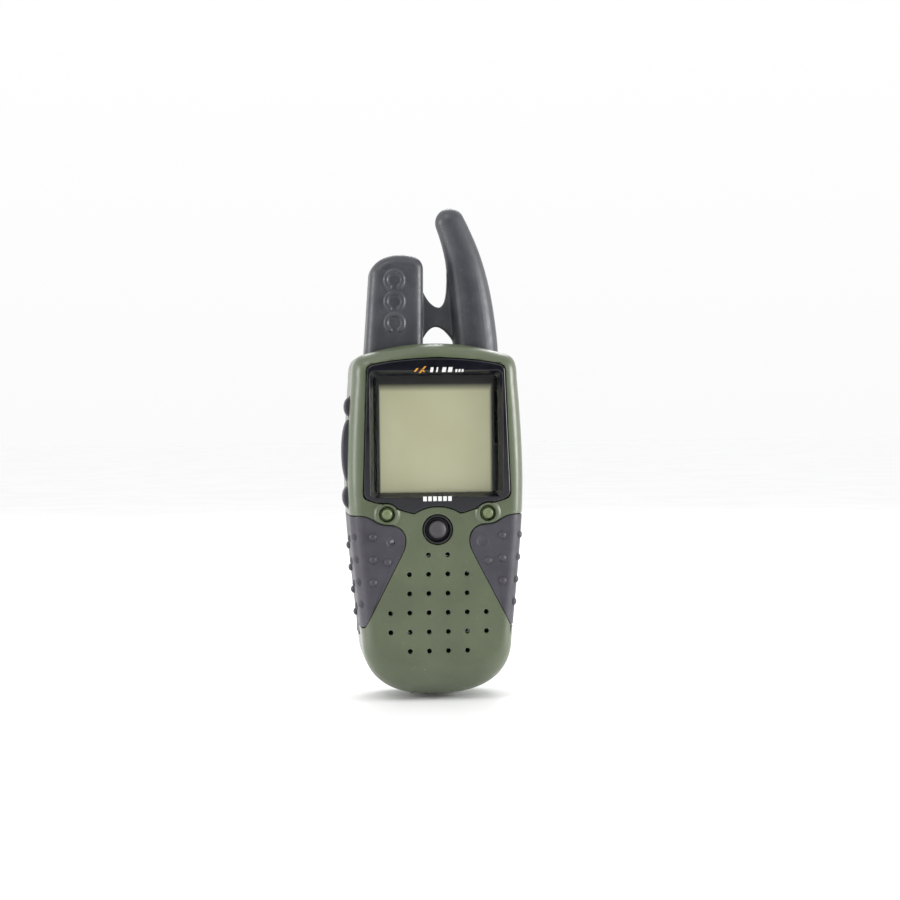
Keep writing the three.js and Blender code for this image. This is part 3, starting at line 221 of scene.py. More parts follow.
def skin(name, rings):
    """A closed skin over rings of equal length, with flat ends."""
    count = len(rings[0])
    points = [point for ring in rings for point in ring]
    last = (len(rings) - 1) * count
    faces = [list(range(count))[::-1], [last + i for i in range(count)]]
    for row in range(len(rings) - 1):
        for i in range(count):
            here = row * count + i
            there = row * count + (i + 1) % count
            faces.append([here, there, there + count, here + count])
    return mesh_object(name, points, faces)


def curve(points, steps):
    """Points along a Bezier curve of any degree, without its last point."""
    degree = len(points) - 1
    made = []
    for step in range(steps):
        t = step / steps
        spot = Vector((0.0, 0.0))
        for i, point in enumerate(points):
            share = math.comb(degree, i) * (1 - t) ** (degree - i) * t**i
            spot += share * Vector(point)
        made.append(spot)
    return made


def path(start, *stretches):
    """A chain of Bezier curves without its last point. A stretch is its steps, then its further points."""
    made = []
    for steps, *points in stretches:
        made += curve([start, *points], steps)
        start = points[-1]
    return made


def offset(outline, distance):
    """An outline moved to its inner side by a distance."""
    count = len(outline)
    area = sum(
        outline[i].x * outline[(i + 1) % count].y - outline[(i + 1) % count].x * outline[i].y
        for i in range(count)
    )
    turn = 1 if area > 0 else -1
    moved = []
    for i, point in enumerate(outline):
        along = outline[(i + 1) % count] - outline[i - 1]
        inwards = Vector((-along.y, along.x)).normalized() * turn
        moved.append(point + inwards * distance)
    return moved


def rounded_edge(y, radius, way, steps):
    """Rows of (y, inset) from the full outline to the edge of the face at y."""
    rows = []
    for step in range(steps if radius else 0):
        turn = step / steps * math.pi / 2
        rows.append((y + way * radius * (1 - math.sin(turn)), radius * (1 - math.cos(turn))))
    return rows + [(y, radius)]


def plate(name, outline, y0, y1, round0=0.0, round1=0.0, steps=4):
    """An outline in x and z given a thickness in y, with rounded front and rear edges."""
    rows = rounded_edge(y0, round0, 1, steps)[::-1] + rounded_edge(y1, round1, -1, steps)
    rings = []
    for y, inset in rows:
        line = offset(outline, inset) if inset else outline
        rings.append([Vector((p.x, y, p.y)) for p in line])
    return skin(name, rings)


def rounded_box(x0, x1, z0, z1, radius, steps=6):
    """The outline of a rectangle with rounded corners."""
    outline = []
    corners = (
        (x1 - radius, z0 + radius, -0.5),
        (x1 - radius, z1 - radius, 0.0),
        (x0 + radius, z1 - radius, 0.5),
        (x0 + radius, z0 + radius, 1.0),
    )
    for x, z, start in corners:
        for step in range(steps + 1):
            turn = math.pi * (start + 0.5 * step / steps)
            outline.append(Vector((x + radius * math.cos(turn), z + radius * math.sin(turn))))
    return outline


def block(name, x0, x1, y0, y1, z0, z1):
    corners = [Vector(p) for p in ((x0, z0), (x1, z0), (x1, z1), (x0, z1))]
    return plate(name, corners, min(y0, y1), max(y0, y1))


def lathe(name, profile, matrix, sides=32):
    """A profile of (radius, height) pairs turned about the z axis, then placed by a matrix."""
    points = []
    rows = []
    for radius, height in profile:
        if radius < 1e-6:
            rows.append([len(points)])
            points.append(matrix @ Vector((0, 0, height)))
            continue
        row = []
        for i in range(sides):
            turn = 2 * math.pi * i / sides
            row.append(len(points))
            points.append(matrix @ Vector((radius * math.cos(turn), radius * math.sin(turn), height)))
        rows.append(row)
    faces = []
    for low, high in zip(rows, rows[1:]):
        if len(low) == len(high) == 1:
            continue
        for i in range(sides):
            j = (i + 1) % sides
            if len(low) == 1:
                faces.append([low[0], high[j], high[i]])
            elif len(high) == 1:
                faces.append([low[i], low[j], high[0]])
            else:
                faces.append([low[i], low[j], high[j], high[i]])
    return mesh_object(name, points, faces)


def axis_y(x, z):
    """Turns the lathe's z axis to +y through a place."""
    return Matrix.Translation((x, 0, z)) @ Matrix.Rotation(-math.pi / 2, 4, "X")


def axis_x(y, z):
    return Matrix.Translation((0, y, z)) @ Matrix.Rotation(math.pi / 2, 4, "Y")


def axis_along(spot, way):
    return Matrix.Translation(spot) @ Vector((0, 0, 1)).rotation_difference(way).to_matrix().to_4x4()


def pin(name, radius, x, z, y0, y1, sides=32):
    return lathe(name, [(0, y0), (radius, y0), (radius, y1), (0, y1)], axis_y(x, z), sides)


def together(objects):
    """Several separate closed meshes as one object."""
    work = bmesh.new()
    for obj in objects:
        work.from_mesh(obj.data)
    first = objects[0]
    work.to_mesh(first.data)
    work.free()
    for obj in objects[1:]:
        discard(obj)
    return first


def discard(obj):
    mesh = obj.data
    bpy.data.objects.remove(obj)
    if not mesh.users:
        bpy.data.meshes.remove(mesh)


def apply_modifiers(obj):
    graph = bpy.context.evaluated_depsgraph_get()
    made = bpy.data.meshes.new_from_object(obj.evaluated_get(graph))
    old = obj.data
    obj.modifiers.clear()
    obj.data = made
    if not old.users:
        bpy.data.meshes.remove(old)


def combine(target, tool, operation="DIFFERENCE"):
    """The target cut by, joined with or limited to a tool, which is used up."""
    step = target.modifiers.new("shape", "BOOLEAN")
    step.operation = operation
    step.solver = "EXACT"
    step.object = tool
    apply_modifiers(target)
    discard(tool)
    return target


def clean(obj):
    """Merges points that booleans left on top of each other."""
    work = bmesh.new()
    work.from_mesh(obj.data)
    bmesh.ops.remove_doubles(work, verts=work.verts, dist=MERGE_REACH)
    bmesh.ops.dissolve_degenerate(work, edges=work.edges, dist=MERGE_REACH)
    work.to_mesh(obj.data)
    work.free()


def soften(obj, width, from_angle):
    """Breaks the edges of a mesh that is still in millimetres."""
    edge = obj.modifiers.new("edges", "BEVEL")
    edge.width = width
    edge.segments = 2
    edge.limit_method = "ANGLE"
    edge.angle_limit = math.radians(from_angle)
    edge.use_clamp_overlap = False
    edge.miter_outer = "MITER_ARC"
    apply_modifiers(obj)


def settle(obj, body, finish, nodes=(), bevel=0.0, sharp=32.0, bevel_from=40.0):
    """Completes a piece: metres, smooth shading with crisp edges, its material, body and CAD nodes."""
    if bevel:
        soften(obj, bevel, bevel_from)
    obj.data.transform(TO_METRES)
    obj.data.materials.clear()
    obj.data.materials.append(FINISH[finish])
    for polygon in obj.data.polygons:
        polygon.material_index = 0
        polygon.use_smooth = True
    obj.data.set_sharp_from_angle(angle=math.radians(sharp))
    normals = obj.modifiers.new("normals", "WEIGHTED_NORMAL")
    normals.keep_sharp = True
    normals.weight = 90
    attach(obj, body)
    if nodes:
        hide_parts(*nodes)
    return obj


# ---------------------------------------------------------------- case form


def half_outline():
    """Half of the case's outline, from the middle of its bottom to the middle of its top."""
    shoulder = HALF_WIDTH - SHOULDER_TAPER
    top = CASE_HEIGHT
    line = path(
        (0, 0),
        (
            20,
            (CHIN_FLAT * CHIN_HALF, 0),
            (CHIN_FULLNESS * CHIN_HALF, 0.28 * CHIN_HEIGHT),
            (CHIN_HALF, CHIN_HEIGHT),
        ),
        (14, (CHIN_HALF + 0.9, 0.26 * top), (HALF_WIDTH - 0.1, 0.45 * top), (HALF_WIDTH, WAIST_HEIGHT)),
        (12, (HALF_WIDTH, WAIST_HEIGHT + 14), (shoulder, top - SHOULDER_DROP)),
        (12, (shoulder, top - 5.5), (shoulder - 1.2, top - 4.1), (shoulder - 4.5, top - CROWN_RISE)),
        (10, (0.4 * HALF_WIDTH, top), (0, top)),
    )
    line.append(Vector((0, top)))
    return line


RIGHT_HALF = half_outline()
WHOLE = RIGHT_HALF + [Vector((-p.x, p.y)) for p in reversed(RIGHT_HALF[1:-1])]


def half_width_at(height):
    for low, high in zip(RIGHT_HALF, RIGHT_HALF[1:]):
        if high.y > height:
            return low.x + (high.x - low.x) * (height - low.y) / (high.y - low.y)
    return 0.0


def moved_in(point, distance):
    return Vector(
        (
            point.x * (1 - distance / HALF_WIDTH),
            MIDDLE + (point.y - MIDDLE) * (1 - distance / MIDDLE),
        )
    )


def surface_point(point, side, turn, inset=0.0):
    """A point of the case's surface: turn runs from 0 on the side wall to a quarter turn on the face."""
    share = math.exp(-point.y / CHIN_FADE)
    chin = FRONT_CHIN if side < 0 else REAR_CHIN
    width = EDGE[0] + (chin[0] - EDGE[0]) * share
    deep = EDGE[1] + (chin[1] - EDGE[1]) * share
    depth = (FRONT_DEPTH if side < 0 else REAR_DEPTH) - inset
    spot = moved_in(point, inset + (width - inset) * (1 - math.cos(turn)))
    return Vector((spot.x, side * (depth - (deep - inset) * (1 - math.sin(turn))), spot.y))


def case_half(name, side, inset=0.0, start=SEAM_GAP / 2, lip=0.0):
    """One half of the case as a closed solid, from the seam to its face."""
    rings = []
    if lip:
        for share in (0.0, 0.5, 1.0):
            drawn = lip * (1 - math.sin(share * math.pi / 2))
            y = side * (start + lip * (1 - math.cos(share * math.pi / 2)))
            line = [moved_in(p, inset + drawn) for p in WHOLE]
            rings.append([Vector((p.x, y, p.y)) for p in line])
    else:
        rings.append([Vector((q.x, side * start, q.y)) for q in (moved_in(p, inset) for p in WHOLE)])
    for step in range(EDGE_STEPS + 1):
        turn = step / EDGE_STEPS * math.pi / 2
        rings.append([surface_point(p, side, turn, inset) for p in WHOLE])
    return skin(name, rings)


def case_whole(name, inset=0.0, turns=EDGE_STEPS):
    rings = []
    for step in range(turns + 1):
        rings.append([surface_point(p, -1, (1 - step / turns) * math.pi / 2, inset) for p in WHOLE])
    for step in range(turns + 1):
        rings.append([surface_point(p, 1, step / turns * math.pi / 2, inset) for p in WHOLE])
    return skin(name, rings)

# ---------------------------------------------------------------- materials


def rgb(red, green, blue):
    """A colour given as 0-255 display values, in linear light."""
    made = []
    for value in (red, green, blue):
        share = value / 255
        made.append(share / 12.92 if share <= 0.04045 else ((share + 0.055) / 1.055) ** 2.4)
    return (*made, 1.0)


class Finish:
    """A node material built up from moulded or machined detail, and painted shadow where frame() is used.
    Pitches are in millimetres.
    """

    def __init__(self, name):
        self.material = bpy.data.materials.new(name)
        self.material.use_nodes = True
        self.tree = self.material.node_tree
        self.shader = self.tree.nodes["Principled BSDF"]
        self.coordinates = self.add("ShaderNodeTexCoord").outputs["Object"]
        self.height = None

    def add(self, kind):
        return self.tree.nodes.new(kind)

    def link(self, source, target):
        self.tree.links.new(source, target)

    def set(self, **values):
        for key, value in values.items():
            self.shader.inputs[key.replace("_", " ")].default_value = value
        return self

    def noise(self, pitch, detail=3.0, distortion=0.0):
        node = self.add("ShaderNodeTexNoise")
        node.inputs["Scale"].default_value = 1 / (pitch * MM)
        node.inputs["Detail"].default_value = detail
        node.inputs["Distortion"].default_value = distortion
        self.link(self.coordinates, node.inputs["Vector"])
        return node.outputs["Fac"]

    def spread(self, source, low, high, start, end):
        node = self.add("ShaderNodeMapRange")
        node.inputs["From Min"].default_value = low
        node.inputs["From Max"].default_value = high
        node.inputs["To Min"].default_value = start
        node.inputs["To Max"].default_value = end
        self.link(source, node.inputs["Value"])
        return node.outputs["Result"]

    def mix(self, share, first, second):
        node = self.add("ShaderNodeMix")
        node.data_type = "RGBA"
        self.link(share, node.inputs["Factor"])
        colours = [s for s in node.inputs if s.type == "RGBA"]
        for socket, value in zip(colours, (first, second)):
            if isinstance(value, tuple):
                socket.default_value = value
            else:
                self.link(value, socket)
        return [s for s in node.outputs if s.type == "RGBA"][0]

    def colour(self, base, accent, pitch, low=0.36, high=0.64):
        made = self.mix(self.spread(self.noise(pitch, 5.0), low, high, 0.0, 1.0), base, accent)
        self.link(made, self.shader.inputs["Base Color"])
        self.painted = made
        return self

    def specks(self, colour, pitch, amount, low=0.64, high=0.74):
        share = self.spread(self.noise(pitch, 8.0, 1.2), low, high, 0.0, amount)
        self.painted = self.mix(share, self.painted, colour)
        self.link(self.painted, self.shader.inputs["Base Color"])
        return self

    def frame(self, colour, area):
        """A soft dark frame outside an area given as (left, right, foot, top, softness) in millimetres: a
        dark border, whose fades are painted shadow of the walls above and to the right, twice as wide at the
        right and five times as wide at the top.
        """
        split = self.add("ShaderNodeSeparateXYZ")
        self.link(self.coordinates, split.inputs["Vector"])
        left, right, foot, top, soft = area
        share = None
        # The wide fades at the right and top paint the shadow that the recess walls cast on the display.
        for axis, edge, fade in (
            ("X", left + ORIGIN.x, -soft),
            ("X", right + ORIGIN.x, 2 * soft),
            ("Z", foot + ORIGIN.z, -soft),
            ("Z", top + ORIGIN.z, 5 * soft),
        ):
            part = self.spread(split.outputs[axis], edge * MM, (edge + fade) * MM, 0.0, 1.0)
            if share is None:
                share = part
                continue
            most = self.add("ShaderNodeMath")
            most.operation = "MAXIMUM"
            self.link(share, most.inputs[0])
            self.link(part, most.inputs[1])
            share = most.outputs[0]
        self.painted = self.mix(share, self.painted, colour)
        self.link(self.painted, self.shader.inputs["Base Color"])
        return self

    def band(self, colour, height):
        """A second colour above a height."""
        split = self.add("ShaderNodeSeparateXYZ")
        self.link(self.coordinates, split.inputs["Vector"])
        edge = (height + ORIGIN.z) * MM
        share = self.spread(split.outputs["Z"], edge, edge + 0.1 * MM, 0.0, 1.0)
        self.painted = self.mix(share, self.painted, colour)
        self.link(self.painted, self.shader.inputs["Base Color"])
        return self

    def rough(self, low, high, pitch=3.0):
        self.link(self.spread(self.noise(pitch, 6.0), 0.3, 0.7, low, high), self.shader.inputs["Roughness"])
        return self

    def bump(self, source, strength, distance):
        node = self.add("ShaderNodeBump")
        node.inputs["Strength"].default_value = strength
        node.inputs["Distance"].default_value = distance * MM
        self.link(source, node.inputs["Height"])
        if self.height is not None:
            self.link(self.height, node.inputs["Normal"])
        self.height = node.outputs["Normal"]
        self.link(self.height, self.shader.inputs["Normal"])
        return self

    def grain(self, pitch, strength=0.3, distance=0.02):
        return self.bump(self.noise(pitch, 2.0), strength, distance)

    def lines(self, pitch, strength, distance, direction="X"):
        node = self.add("ShaderNodeTexWave")
        node.bands_direction = direction
        node.inputs["Scale"].default_value = 1 / (pitch * MM) / 3.1831
        node.inputs["Distortion"].default_value = 1.0
        node.inputs["Detail"].default_value = 2.0
        self.link(self.coordinates, node.inputs["Vector"])
        return self.bump(node.outputs["Fac"], strength, distance)


def make_finishes():
    made = {}
    green = Finish("green_moulded").colour(rgb(74, 84, 58), rgb(82, 92, 66), 14.0)
    green.specks(rgb(150, 156, 138), 0.9, 0.22).specks(rgb(60, 70, 48), 1.6, 0.25)
    green.rough(0.36, 0.5, 2.5).grain(0.16, 0.35, 0.02).grain(2.4, 0.12, 0.02)
    green.set(Coat_Weight=0.6, Coat_Roughness=0.26)
    made["green_plastic"] = green

    grip = Finish("grip_moulded").colour(rgb(54, 52, 60), rgb(64, 62, 70), 6.0)
    grip.specks(rgb(120, 118, 124), 0.7, 0.25).rough(0.4, 0.54, 1.5)
    grip.grain(0.2, 0.45, 0.03).grain(1.4, 0.15, 0.03)
    made["grip_rubber"] = grip

    aerial = Finish("antenna_moulded").colour(rgb(54, 56, 62), rgb(68, 69, 74), 9.0)
    aerial.specks(rgb(128, 128, 130), 0.8, 0.3).rough(0.3, 0.46, 2.0)
    aerial.grain(0.22, 0.3, 0.03).grain(3.0, 0.2, 0.04)
    made["antenna_rubber"] = aerial

    stick = Finish("stick_moulded").colour(rgb(58, 56, 60), rgb(70, 68, 72), 3.0)
    stick.rough(0.42, 0.58, 0.8).grain(0.15, 0.3, 0.02)
    made["stick_rubber"] = stick

    seal = Finish("seal_moulded").colour(rgb(38, 38, 40), rgb(48, 48, 50), 4.0)
    seal.specks(rgb(96, 96, 98), 0.8, 0.2).rough(0.6, 0.78).grain(0.2, 0.35, 0.02)
    made["seal_rubber"] = seal

    gloss = Finish("gloss_lens").colour(rgb(10, 11, 18), rgb(15, 16, 26), 8.0)
    gloss.rough(0.06, 0.14, 4.0).grain(5.0, 0.03, 0.02).set(Coat_Weight=0.2, Coat_Roughness=0.04)
    made["gloss_black"] = gloss

    clear = Finish("clear_sheet").colour(rgb(40, 42, 40), rgb(48, 50, 48), 12.0)
    clear.rough(0.03, 0.1, 5.0).grain(6.0, 0.04, 0.02).set(Alpha=0.1)
    made["clear_window"] = clear

    display = Finish("display_glass").colour(rgb(202, 202, 166), rgb(208, 208, 174), 16.0)
    # A dark border round the display's active area, with painted shadow of the recess walls fading in along
    # its top and right.
    display.frame(rgb(34, 35, 34), DISPLAY_AREA)
    display.rough(0.3, 0.4, 3.0).grain(0.5, 0.03, 0.004)
    made["display"] = display

    guide = Finish("light_guide_sheet").colour(rgb(206, 210, 198), rgb(220, 222, 210), 5.0)
    guide.rough(0.2, 0.32).lines(0.6, 0.2, 0.02, "Z")
    made["light_guide"] = guide

    key = Finish("key_moulded").colour(rgb(98, 112, 76), rgb(112, 124, 88), 2.0)
    key.rough(0.22, 0.34, 0.8).grain(0.25, 0.15, 0.02).set(Subsurface_Weight=0.15, Subsurface_Scale=0.001)
    made["key_green"] = key

    black = Finish("black_moulded").colour(rgb(24, 24, 26), rgb(33, 33, 35), 4.0)
    black.specks(rgb(84, 84, 86), 0.7, 0.2).rough(0.36, 0.5, 1.4).grain(0.2, 0.3, 0.02)
    made["black_plastic"] = black

    ceramic = Finish("ceramic_body").colour(rgb(196, 186, 164), rgb(208, 198, 178), 2.5)
    ceramic.rough(0.45, 0.6).grain(0.3, 0.3, 0.03)
    made["ceramic"] = ceramic

    copper = Finish("copper_wire").colour(rgb(184, 118, 78), rgb(164, 98, 62), 1.4)
    copper.rough(0.22, 0.42).lines(0.5, 0.3, 0.03, "Z").set(Metallic=1.0)
    made["copper"] = copper

    steel = Finish("turned_steel").colour(rgb(168, 170, 172), rgb(150, 152, 155), 2.5)
    steel.rough(0.2, 0.38, 0.8).lines(0.16, 0.15, 0.01, "X").set(Metallic=1.0)
    made["steel"] = steel

    tin = Finish("tinned_sheet").colour(rgb(186, 188, 190), rgb(170, 172, 176), 3.0)
    tin.rough(0.26, 0.42, 1.2).grain(0.5, 0.2, 0.02).set(Metallic=1.0)
    made["tin"] = tin

    circuit = Finish("circuit_board").colour(rgb(30, 84, 50), rgb(38, 98, 58), 1.2, 0.47, 0.53)
    circuit.specks(rgb(190, 172, 96), 1.1, 0.9, 0.62, 0.64).rough(0.3, 0.46).grain(0.7, 0.2, 0.03)
    made["circuit"] = circuit

    paper = Finish("pressed_paper").colour(rgb(44, 42, 40), rgb(54, 51, 48), 1.5)
    paper.rough(0.8, 0.95).grain(0.18, 0.5, 0.05)
    made["cone_paper"] = paper

    wrap = Finish("cell_sleeve").colour(rgb(52, 56, 64), rgb(60, 64, 72), 6.0)
    wrap.band(rgb(178, 132, 78), CELL_BAND).rough(0.22, 0.34).grain(1.5, 0.1, 0.02)
    wrap.set(Metallic=0.3)
    made["cell_wrap"] = wrap

    white = Finish("white_print").colour(rgb(226, 226, 224), rgb(238, 238, 236), 1.0)
    white.rough(0.3, 0.42).grain(0.2, 0.1, 0.01)
    made["white_print"] = white
    amber = Finish("amber_print").colour(rgb(214, 150, 44), rgb(226, 164, 58), 1.0)
    amber.rough(0.3, 0.42).grain(0.2, 0.1, 0.01)
    made["amber_print"] = amber
    return {name: finish.material for name, finish in made.items()}


FINISH = make_finishes()

# ---------------------------------------------------------------- grips


def grip_outline(side, grow=0.0):
    lobe = GRIP_LOBE - grow
    top = GRIP_TOP + grow
    foot = GRIP_FOOT - grow
    outside = HALF_WIDTH + 6
    line = [Vector((outside, foot - 4)), Vector((outside, top))]
    line += path(
        (lobe + 14.6, top),
        (10, (lobe + 10.6, top - 0.2), (lobe + 9.6, top - 2.8), (lobe + 6.1, top - 2.9)),
        (10, (lobe + 2, top - 3), (lobe, top - 5.2), (lobe, top - 8.2)),
        (5, (lobe, top - 10.3), (lobe + 0.8, top - 11.8), (lobe + 1.6, top - 13.3)),
    )
    line += [Vector((lobe + 1.6, top - 13.3)), Vector((CHIN_HALF - 0.8, foot))]
    return [Vector((side * p.x, p.y)) for p in line]


def grip_region(name, side, grow=0.0):
    inner = HALF_WIDTH - GRIP_REAR_INSET - grow
    front = plate(name, grip_outline(side, grow), -FAR, 0.5)
    rear = block(
        name + "_rear",
        side * inner,
        side * (HALF_WIDTH + 6),
        0,
        REAR_DEPTH - EDGE[1] + grow,
        GRIP_FOOT - 4 - grow,
        GRIP_TOP + grow,
    )
    return combine(front, rear, "UNION")


def bump_at(name, spot, way):
    r = BUMP_RADIUS
    profile = [(0, -0.5), (r, -0.5), (1.04 * r, 0.02), (0.92 * r, 0.3 * BUMP_RISE)]
    profile += [(0.68 * r, 0.68 * BUMP_RISE), (0.36 * r, 0.93 * BUMP_RISE), (0, BUMP_RISE)]
    return lathe(name, profile, axis_along(spot, way), 20)


def grip_bumps(side):
    """Staggered rows of domes: on the front, round the edge and along the side."""
    rows = [GRIP_TOP - 6.6 - row * BUMP_PITCH for row in range(4)]
    spots = [(Vector((side * (HALF_WIDTH - 7.5), FACE, z)), Vector((0, -1, 0))) for z in rows[:3]]
    spots.append((Vector((side * (GRIP_LOBE + 5.8), FACE, rows[1] - 0.8)), Vector((0, -1, 0))))
    turn = math.pi / 5
    for height in rows:
        low = height - BUMP_PITCH / 2 + 3.6
        edge = surface_point(Vector((half_width_at(low), low)), -1, turn)
        edge.x *= side
        spots.append((edge, Vector((side * math.cos(turn), -math.sin(turn), 0))))
        spots.append((Vector((side * half_width_at(height - 1), -3, height - 1)), Vector((side, 0, 0))))
        low_rear = height - BUMP_PITCH / 2
        spots.append((Vector((side * half_width_at(low), 5, low_rear)), Vector((side, 0, 0))))
    return together([bump_at(f"bump_{i}", spot, way) for i, (spot, way) in enumerate(spots)])


def make_grip(side):
    node = "left_grip" if side < 0 else "right_grip"
    grip = grip_region(node + "_cover", side)
    combine(grip, case_whole("outer"), "INTERSECT")
    combine(grip, case_whole("inner", GRIP_THICKNESS))
    x = side * MIC_X
    dip = [(0, FACE - 2), (DIMPLE_RADIUS + 0.6, FACE - 2), (DIMPLE_RADIUS + 0.12, FACE - 0.02)]
    dip += [(DIMPLE_RADIUS - 0.1, FACE + 0.5 * DIMPLE_DEPTH)]
    dip += [(DIMPLE_RADIUS - 0.4, FACE + DIMPLE_DEPTH), (0, FACE + DIMPLE_DEPTH)]
    combine(grip, lathe("dip", dip, axis_y(x, MIC_Z), 40))
    if side < 0:
        combine(grip, pin("mic_hole", GRILLE_RADIUS, x, MIC_Z, -FAR, 0, 16))
    clean(grip)
    soften(grip, 0.28, 50)
    combine(grip, grip_bumps(side), "UNION")
    return settle(grip, "root", "grip_rubber", [node], sharp=48)


# ---------------------------------------------------------------- case halves


def lens_outline(grow=0.0):
    """The outline of the black lens, with arcs over the two front keys and over the stick."""
    top = LENS_TOP + grow
    foot = LENS_FOOT - grow
    upper = LENS_TOP_WIDTH / 2 + grow
    lower = LENS_BOTTOM_WIDTH / 2 + grow
    notch = 7.4
    key = KEY_SPREAD
    line = path(
        (0, foot - 2.6),
        (8, (0.55 * notch, foot - 2.6), (notch, foot - 4.8)),
        (6, (notch + 1.4, foot - 4.6), (key - 3.2, foot - 3.1)),
        (6, (key - 1.4, foot - 1), (key + 1.4, foot - 1.5)),
        (5, (key + 4, foot - 1.2), (lower - 1, foot)),
        (6, (lower, foot + 0.6), (lower, foot + 2.4)),
        (6, (upper, top - 4.2)),
        (8, (upper, top - 2.3), (upper - 2.4, top - 1.9)),
        (10, (0.5 * upper, top), (0, top)),
    )
    mirrored = [Vector((-p.x, p.y)) for p in reversed(line[1:])]
    return line + [Vector((0, top))] + mirrored


def antenna_openings():
    reach = NAV_DEPTH / 2 + FIT_GAP
    y0 = ANTENNA_Y - reach
    y1 = ANTENNA_Y + reach
    low = CASE_HEIGHT - 9
    high = CASE_HEIGHT + 2
    nav = block("nav_opening", -NAV_LEFT - 0.4, -NAV_RIGHT + 0.9, y0, y1, low, high)
    radius = HORN[0][2] + FIT_GAP
    profile = [(0, low), (radius, low), (radius, high), (0, high)]
    horn = lathe("horn_opening", profile, Matrix.Translation((HORN[0][0], ANTENNA_Y, 0)), 48)
    return together([nav, horn])


def make_front():
    shell = case_half("front_shell", -1, lip=0.3)
    combine(shell, case_half("hollow", -1, CASE_WALL, start=-1.0))
    inner = FACE + CASE_WALL
    rise = KEY_BULGE_RISE
    for side in (-1, 1):
        ring = [(0, inner - 0.4), (3.6, inner - 0.4), (4.5, FACE + 0.06), (4.2, FACE - 0.06)]
        ring += [(3.95, FACE - 0.25), (3.75, FACE - 0.55), (3.45, FACE - 0.74), (3.1, FACE - rise)]
        ring += [(0, FACE - rise)]
        combine(shell, lathe("bulge", ring, axis_y(side * KEY_SPREAD, KEY_Z), 48), "UNION")
    for side in (-1, 1):
        pocket = grip_region("pocket", side, FIT_GAP)
        combine(pocket, case_whole("pocket_floor", GRIP_THICKNESS + FIT_GAP))
        combine(shell, pocket)
    combine(shell, plate("lens_opening", lens_outline(FIT_GAP), -FAR, inner + 1))
    for side in (-1, 1):
        hole = [(0, FACE - 3), (KEY_HOLE_RADIUS + 0.5, FACE - 3), (KEY_HOLE_RADIUS + 0.4, FACE - rise)]
        hole += [(KEY_HOLE_RADIUS, FACE - 0.3), (KEY_HOLE_RADIUS, inner + 1), (0, inner + 1)]
        combine(shell, lathe("key_hole", hole, axis_y(side * KEY_SPREAD, KEY_Z), 40))
    well = STICK_WELL_RADIUS + FIT_GAP
    hole = [(0, FACE - 3), (well + 0.5, FACE - 3), (well + 0.4, FACE - 0.01), (well + 0.1, FACE + 0.12)]
    hole += [(well, FACE + 0.45), (well, inner + 1), (0, inner + 1)]
    combine(shell, lathe("stick_hole", hole, axis_y(0, STICK_Z), 56))
    r = GRILLE_RADIUS
    sound = [(0, FACE - 1), (r + 0.35, FACE - 1), (r + 0.3, FACE - 0.01), (r + 0.06, FACE + 0.12)]
    sound += [(r, FACE + 0.4), (r, inner + 0.6), (0, inner + 0.6)]
    holes = []
    for row, count in enumerate(GRILLE_ROWS):
        for i in range(count):
            x = (i - (count - 1) / 2) * GRILLE_PITCH
            z = GRILLE_TOP - row * GRILLE_PITCH
            holes.append(lathe(f"sound_{row}_{i}", sound, axis_y(x, z), 18))
    combine(shell, together(holes))
    combine(shell, pin("mic_hole", GRILLE_RADIUS, -MIC_X, MIC_Z, -FAR, inner + 1, 16))
    for _, _, drop, length, _ in SIDE_KEYS:
        half = length / 2 + FIT_GAP
        reach = SIDE_KEY_BREADTH / 2 + FIT_GAP
        z = CASE_HEIGHT - drop
        slot = block(
            "slot",
            -HALF_WIDTH - 3,
            -HALF_WIDTH + CASE_WALL + 2,
            SIDE_KEY_Y - reach,
            SIDE_KEY_Y + reach,
            z - half,
            z + half,
        )
        combine(shell, slot)
    combine(shell, antenna_openings())
    clean(shell)
    return settle(
        shell, "root", "green_plastic", ["front_housing"], bevel=0.16, bevel_from=50
    )


def cad_copy(node, name):
    """A copy of a CAD node's mesh, in millimetres in the case's frame."""
    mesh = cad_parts[node].data.copy()
    obj = bpy.data.objects.new(name, mesh)
    bpy.context.scene.collection.objects.link(obj)
    mesh.transform(FROM_METRES)
    return obj


def refined(node, name, guide):
    """A CAD node's shape with its moulded outside made as smooth as the guide surface."""
    obj = cad_copy(node, name)
    mesh = obj.data
    surface = BVHTree.FromPolygons(
        [v.co for v in guide.data.vertices], [list(p.vertices) for p in guide.data.polygons]
    )
    work = bmesh.new()
    work.from_mesh(mesh)
    bmesh.ops.remove_doubles(work, verts=work.verts, dist=CAD_MERGE_REACH)
    bmesh.ops.dissolve_limit(work, angle_limit=math.radians(0.5), verts=work.verts, edges=work.edges)
    bmesh.ops.triangulate(work, faces=work.faces)

    def outside(face):
        _, normal, _, distance = surface.find_nearest(face.calc_center_median(), 2 * GUIDE_REACH)
        return normal is not None and distance < GUIDE_REACH and normal.dot(face.normal) > SAME_WAY

    for _ in range(5):
        edges = {e for f in work.faces if outside(f) for e in f.edges if e.calc_length() > LONGEST_EDGE}
        if not edges:
            break
        bmesh.ops.subdivide_edges(work, edges=sorted(edges, key=lambda e: e.index), cuts=1)
        bmesh.ops.triangulate(work, faces=[f for f in work.faces if len(f.verts) > 3])
        work.edges.index_update()
    work.normal_update()
    for vertex in work.verts:
        place, normal, _, _ = surface.find_nearest(vertex.co, GUIDE_REACH)
        if place is not None and any(normal.dot(f.normal) > SAME_WAY for f in vertex.link_faces):
            vertex.co = place
    work.to_mesh(mesh)
    work.free()
    return obj


def make_rear(guide):
    shell = refined("rear_housing", "rear_shell", guide)
    return settle(shell, "root", "green_plastic", ["rear_housing"])


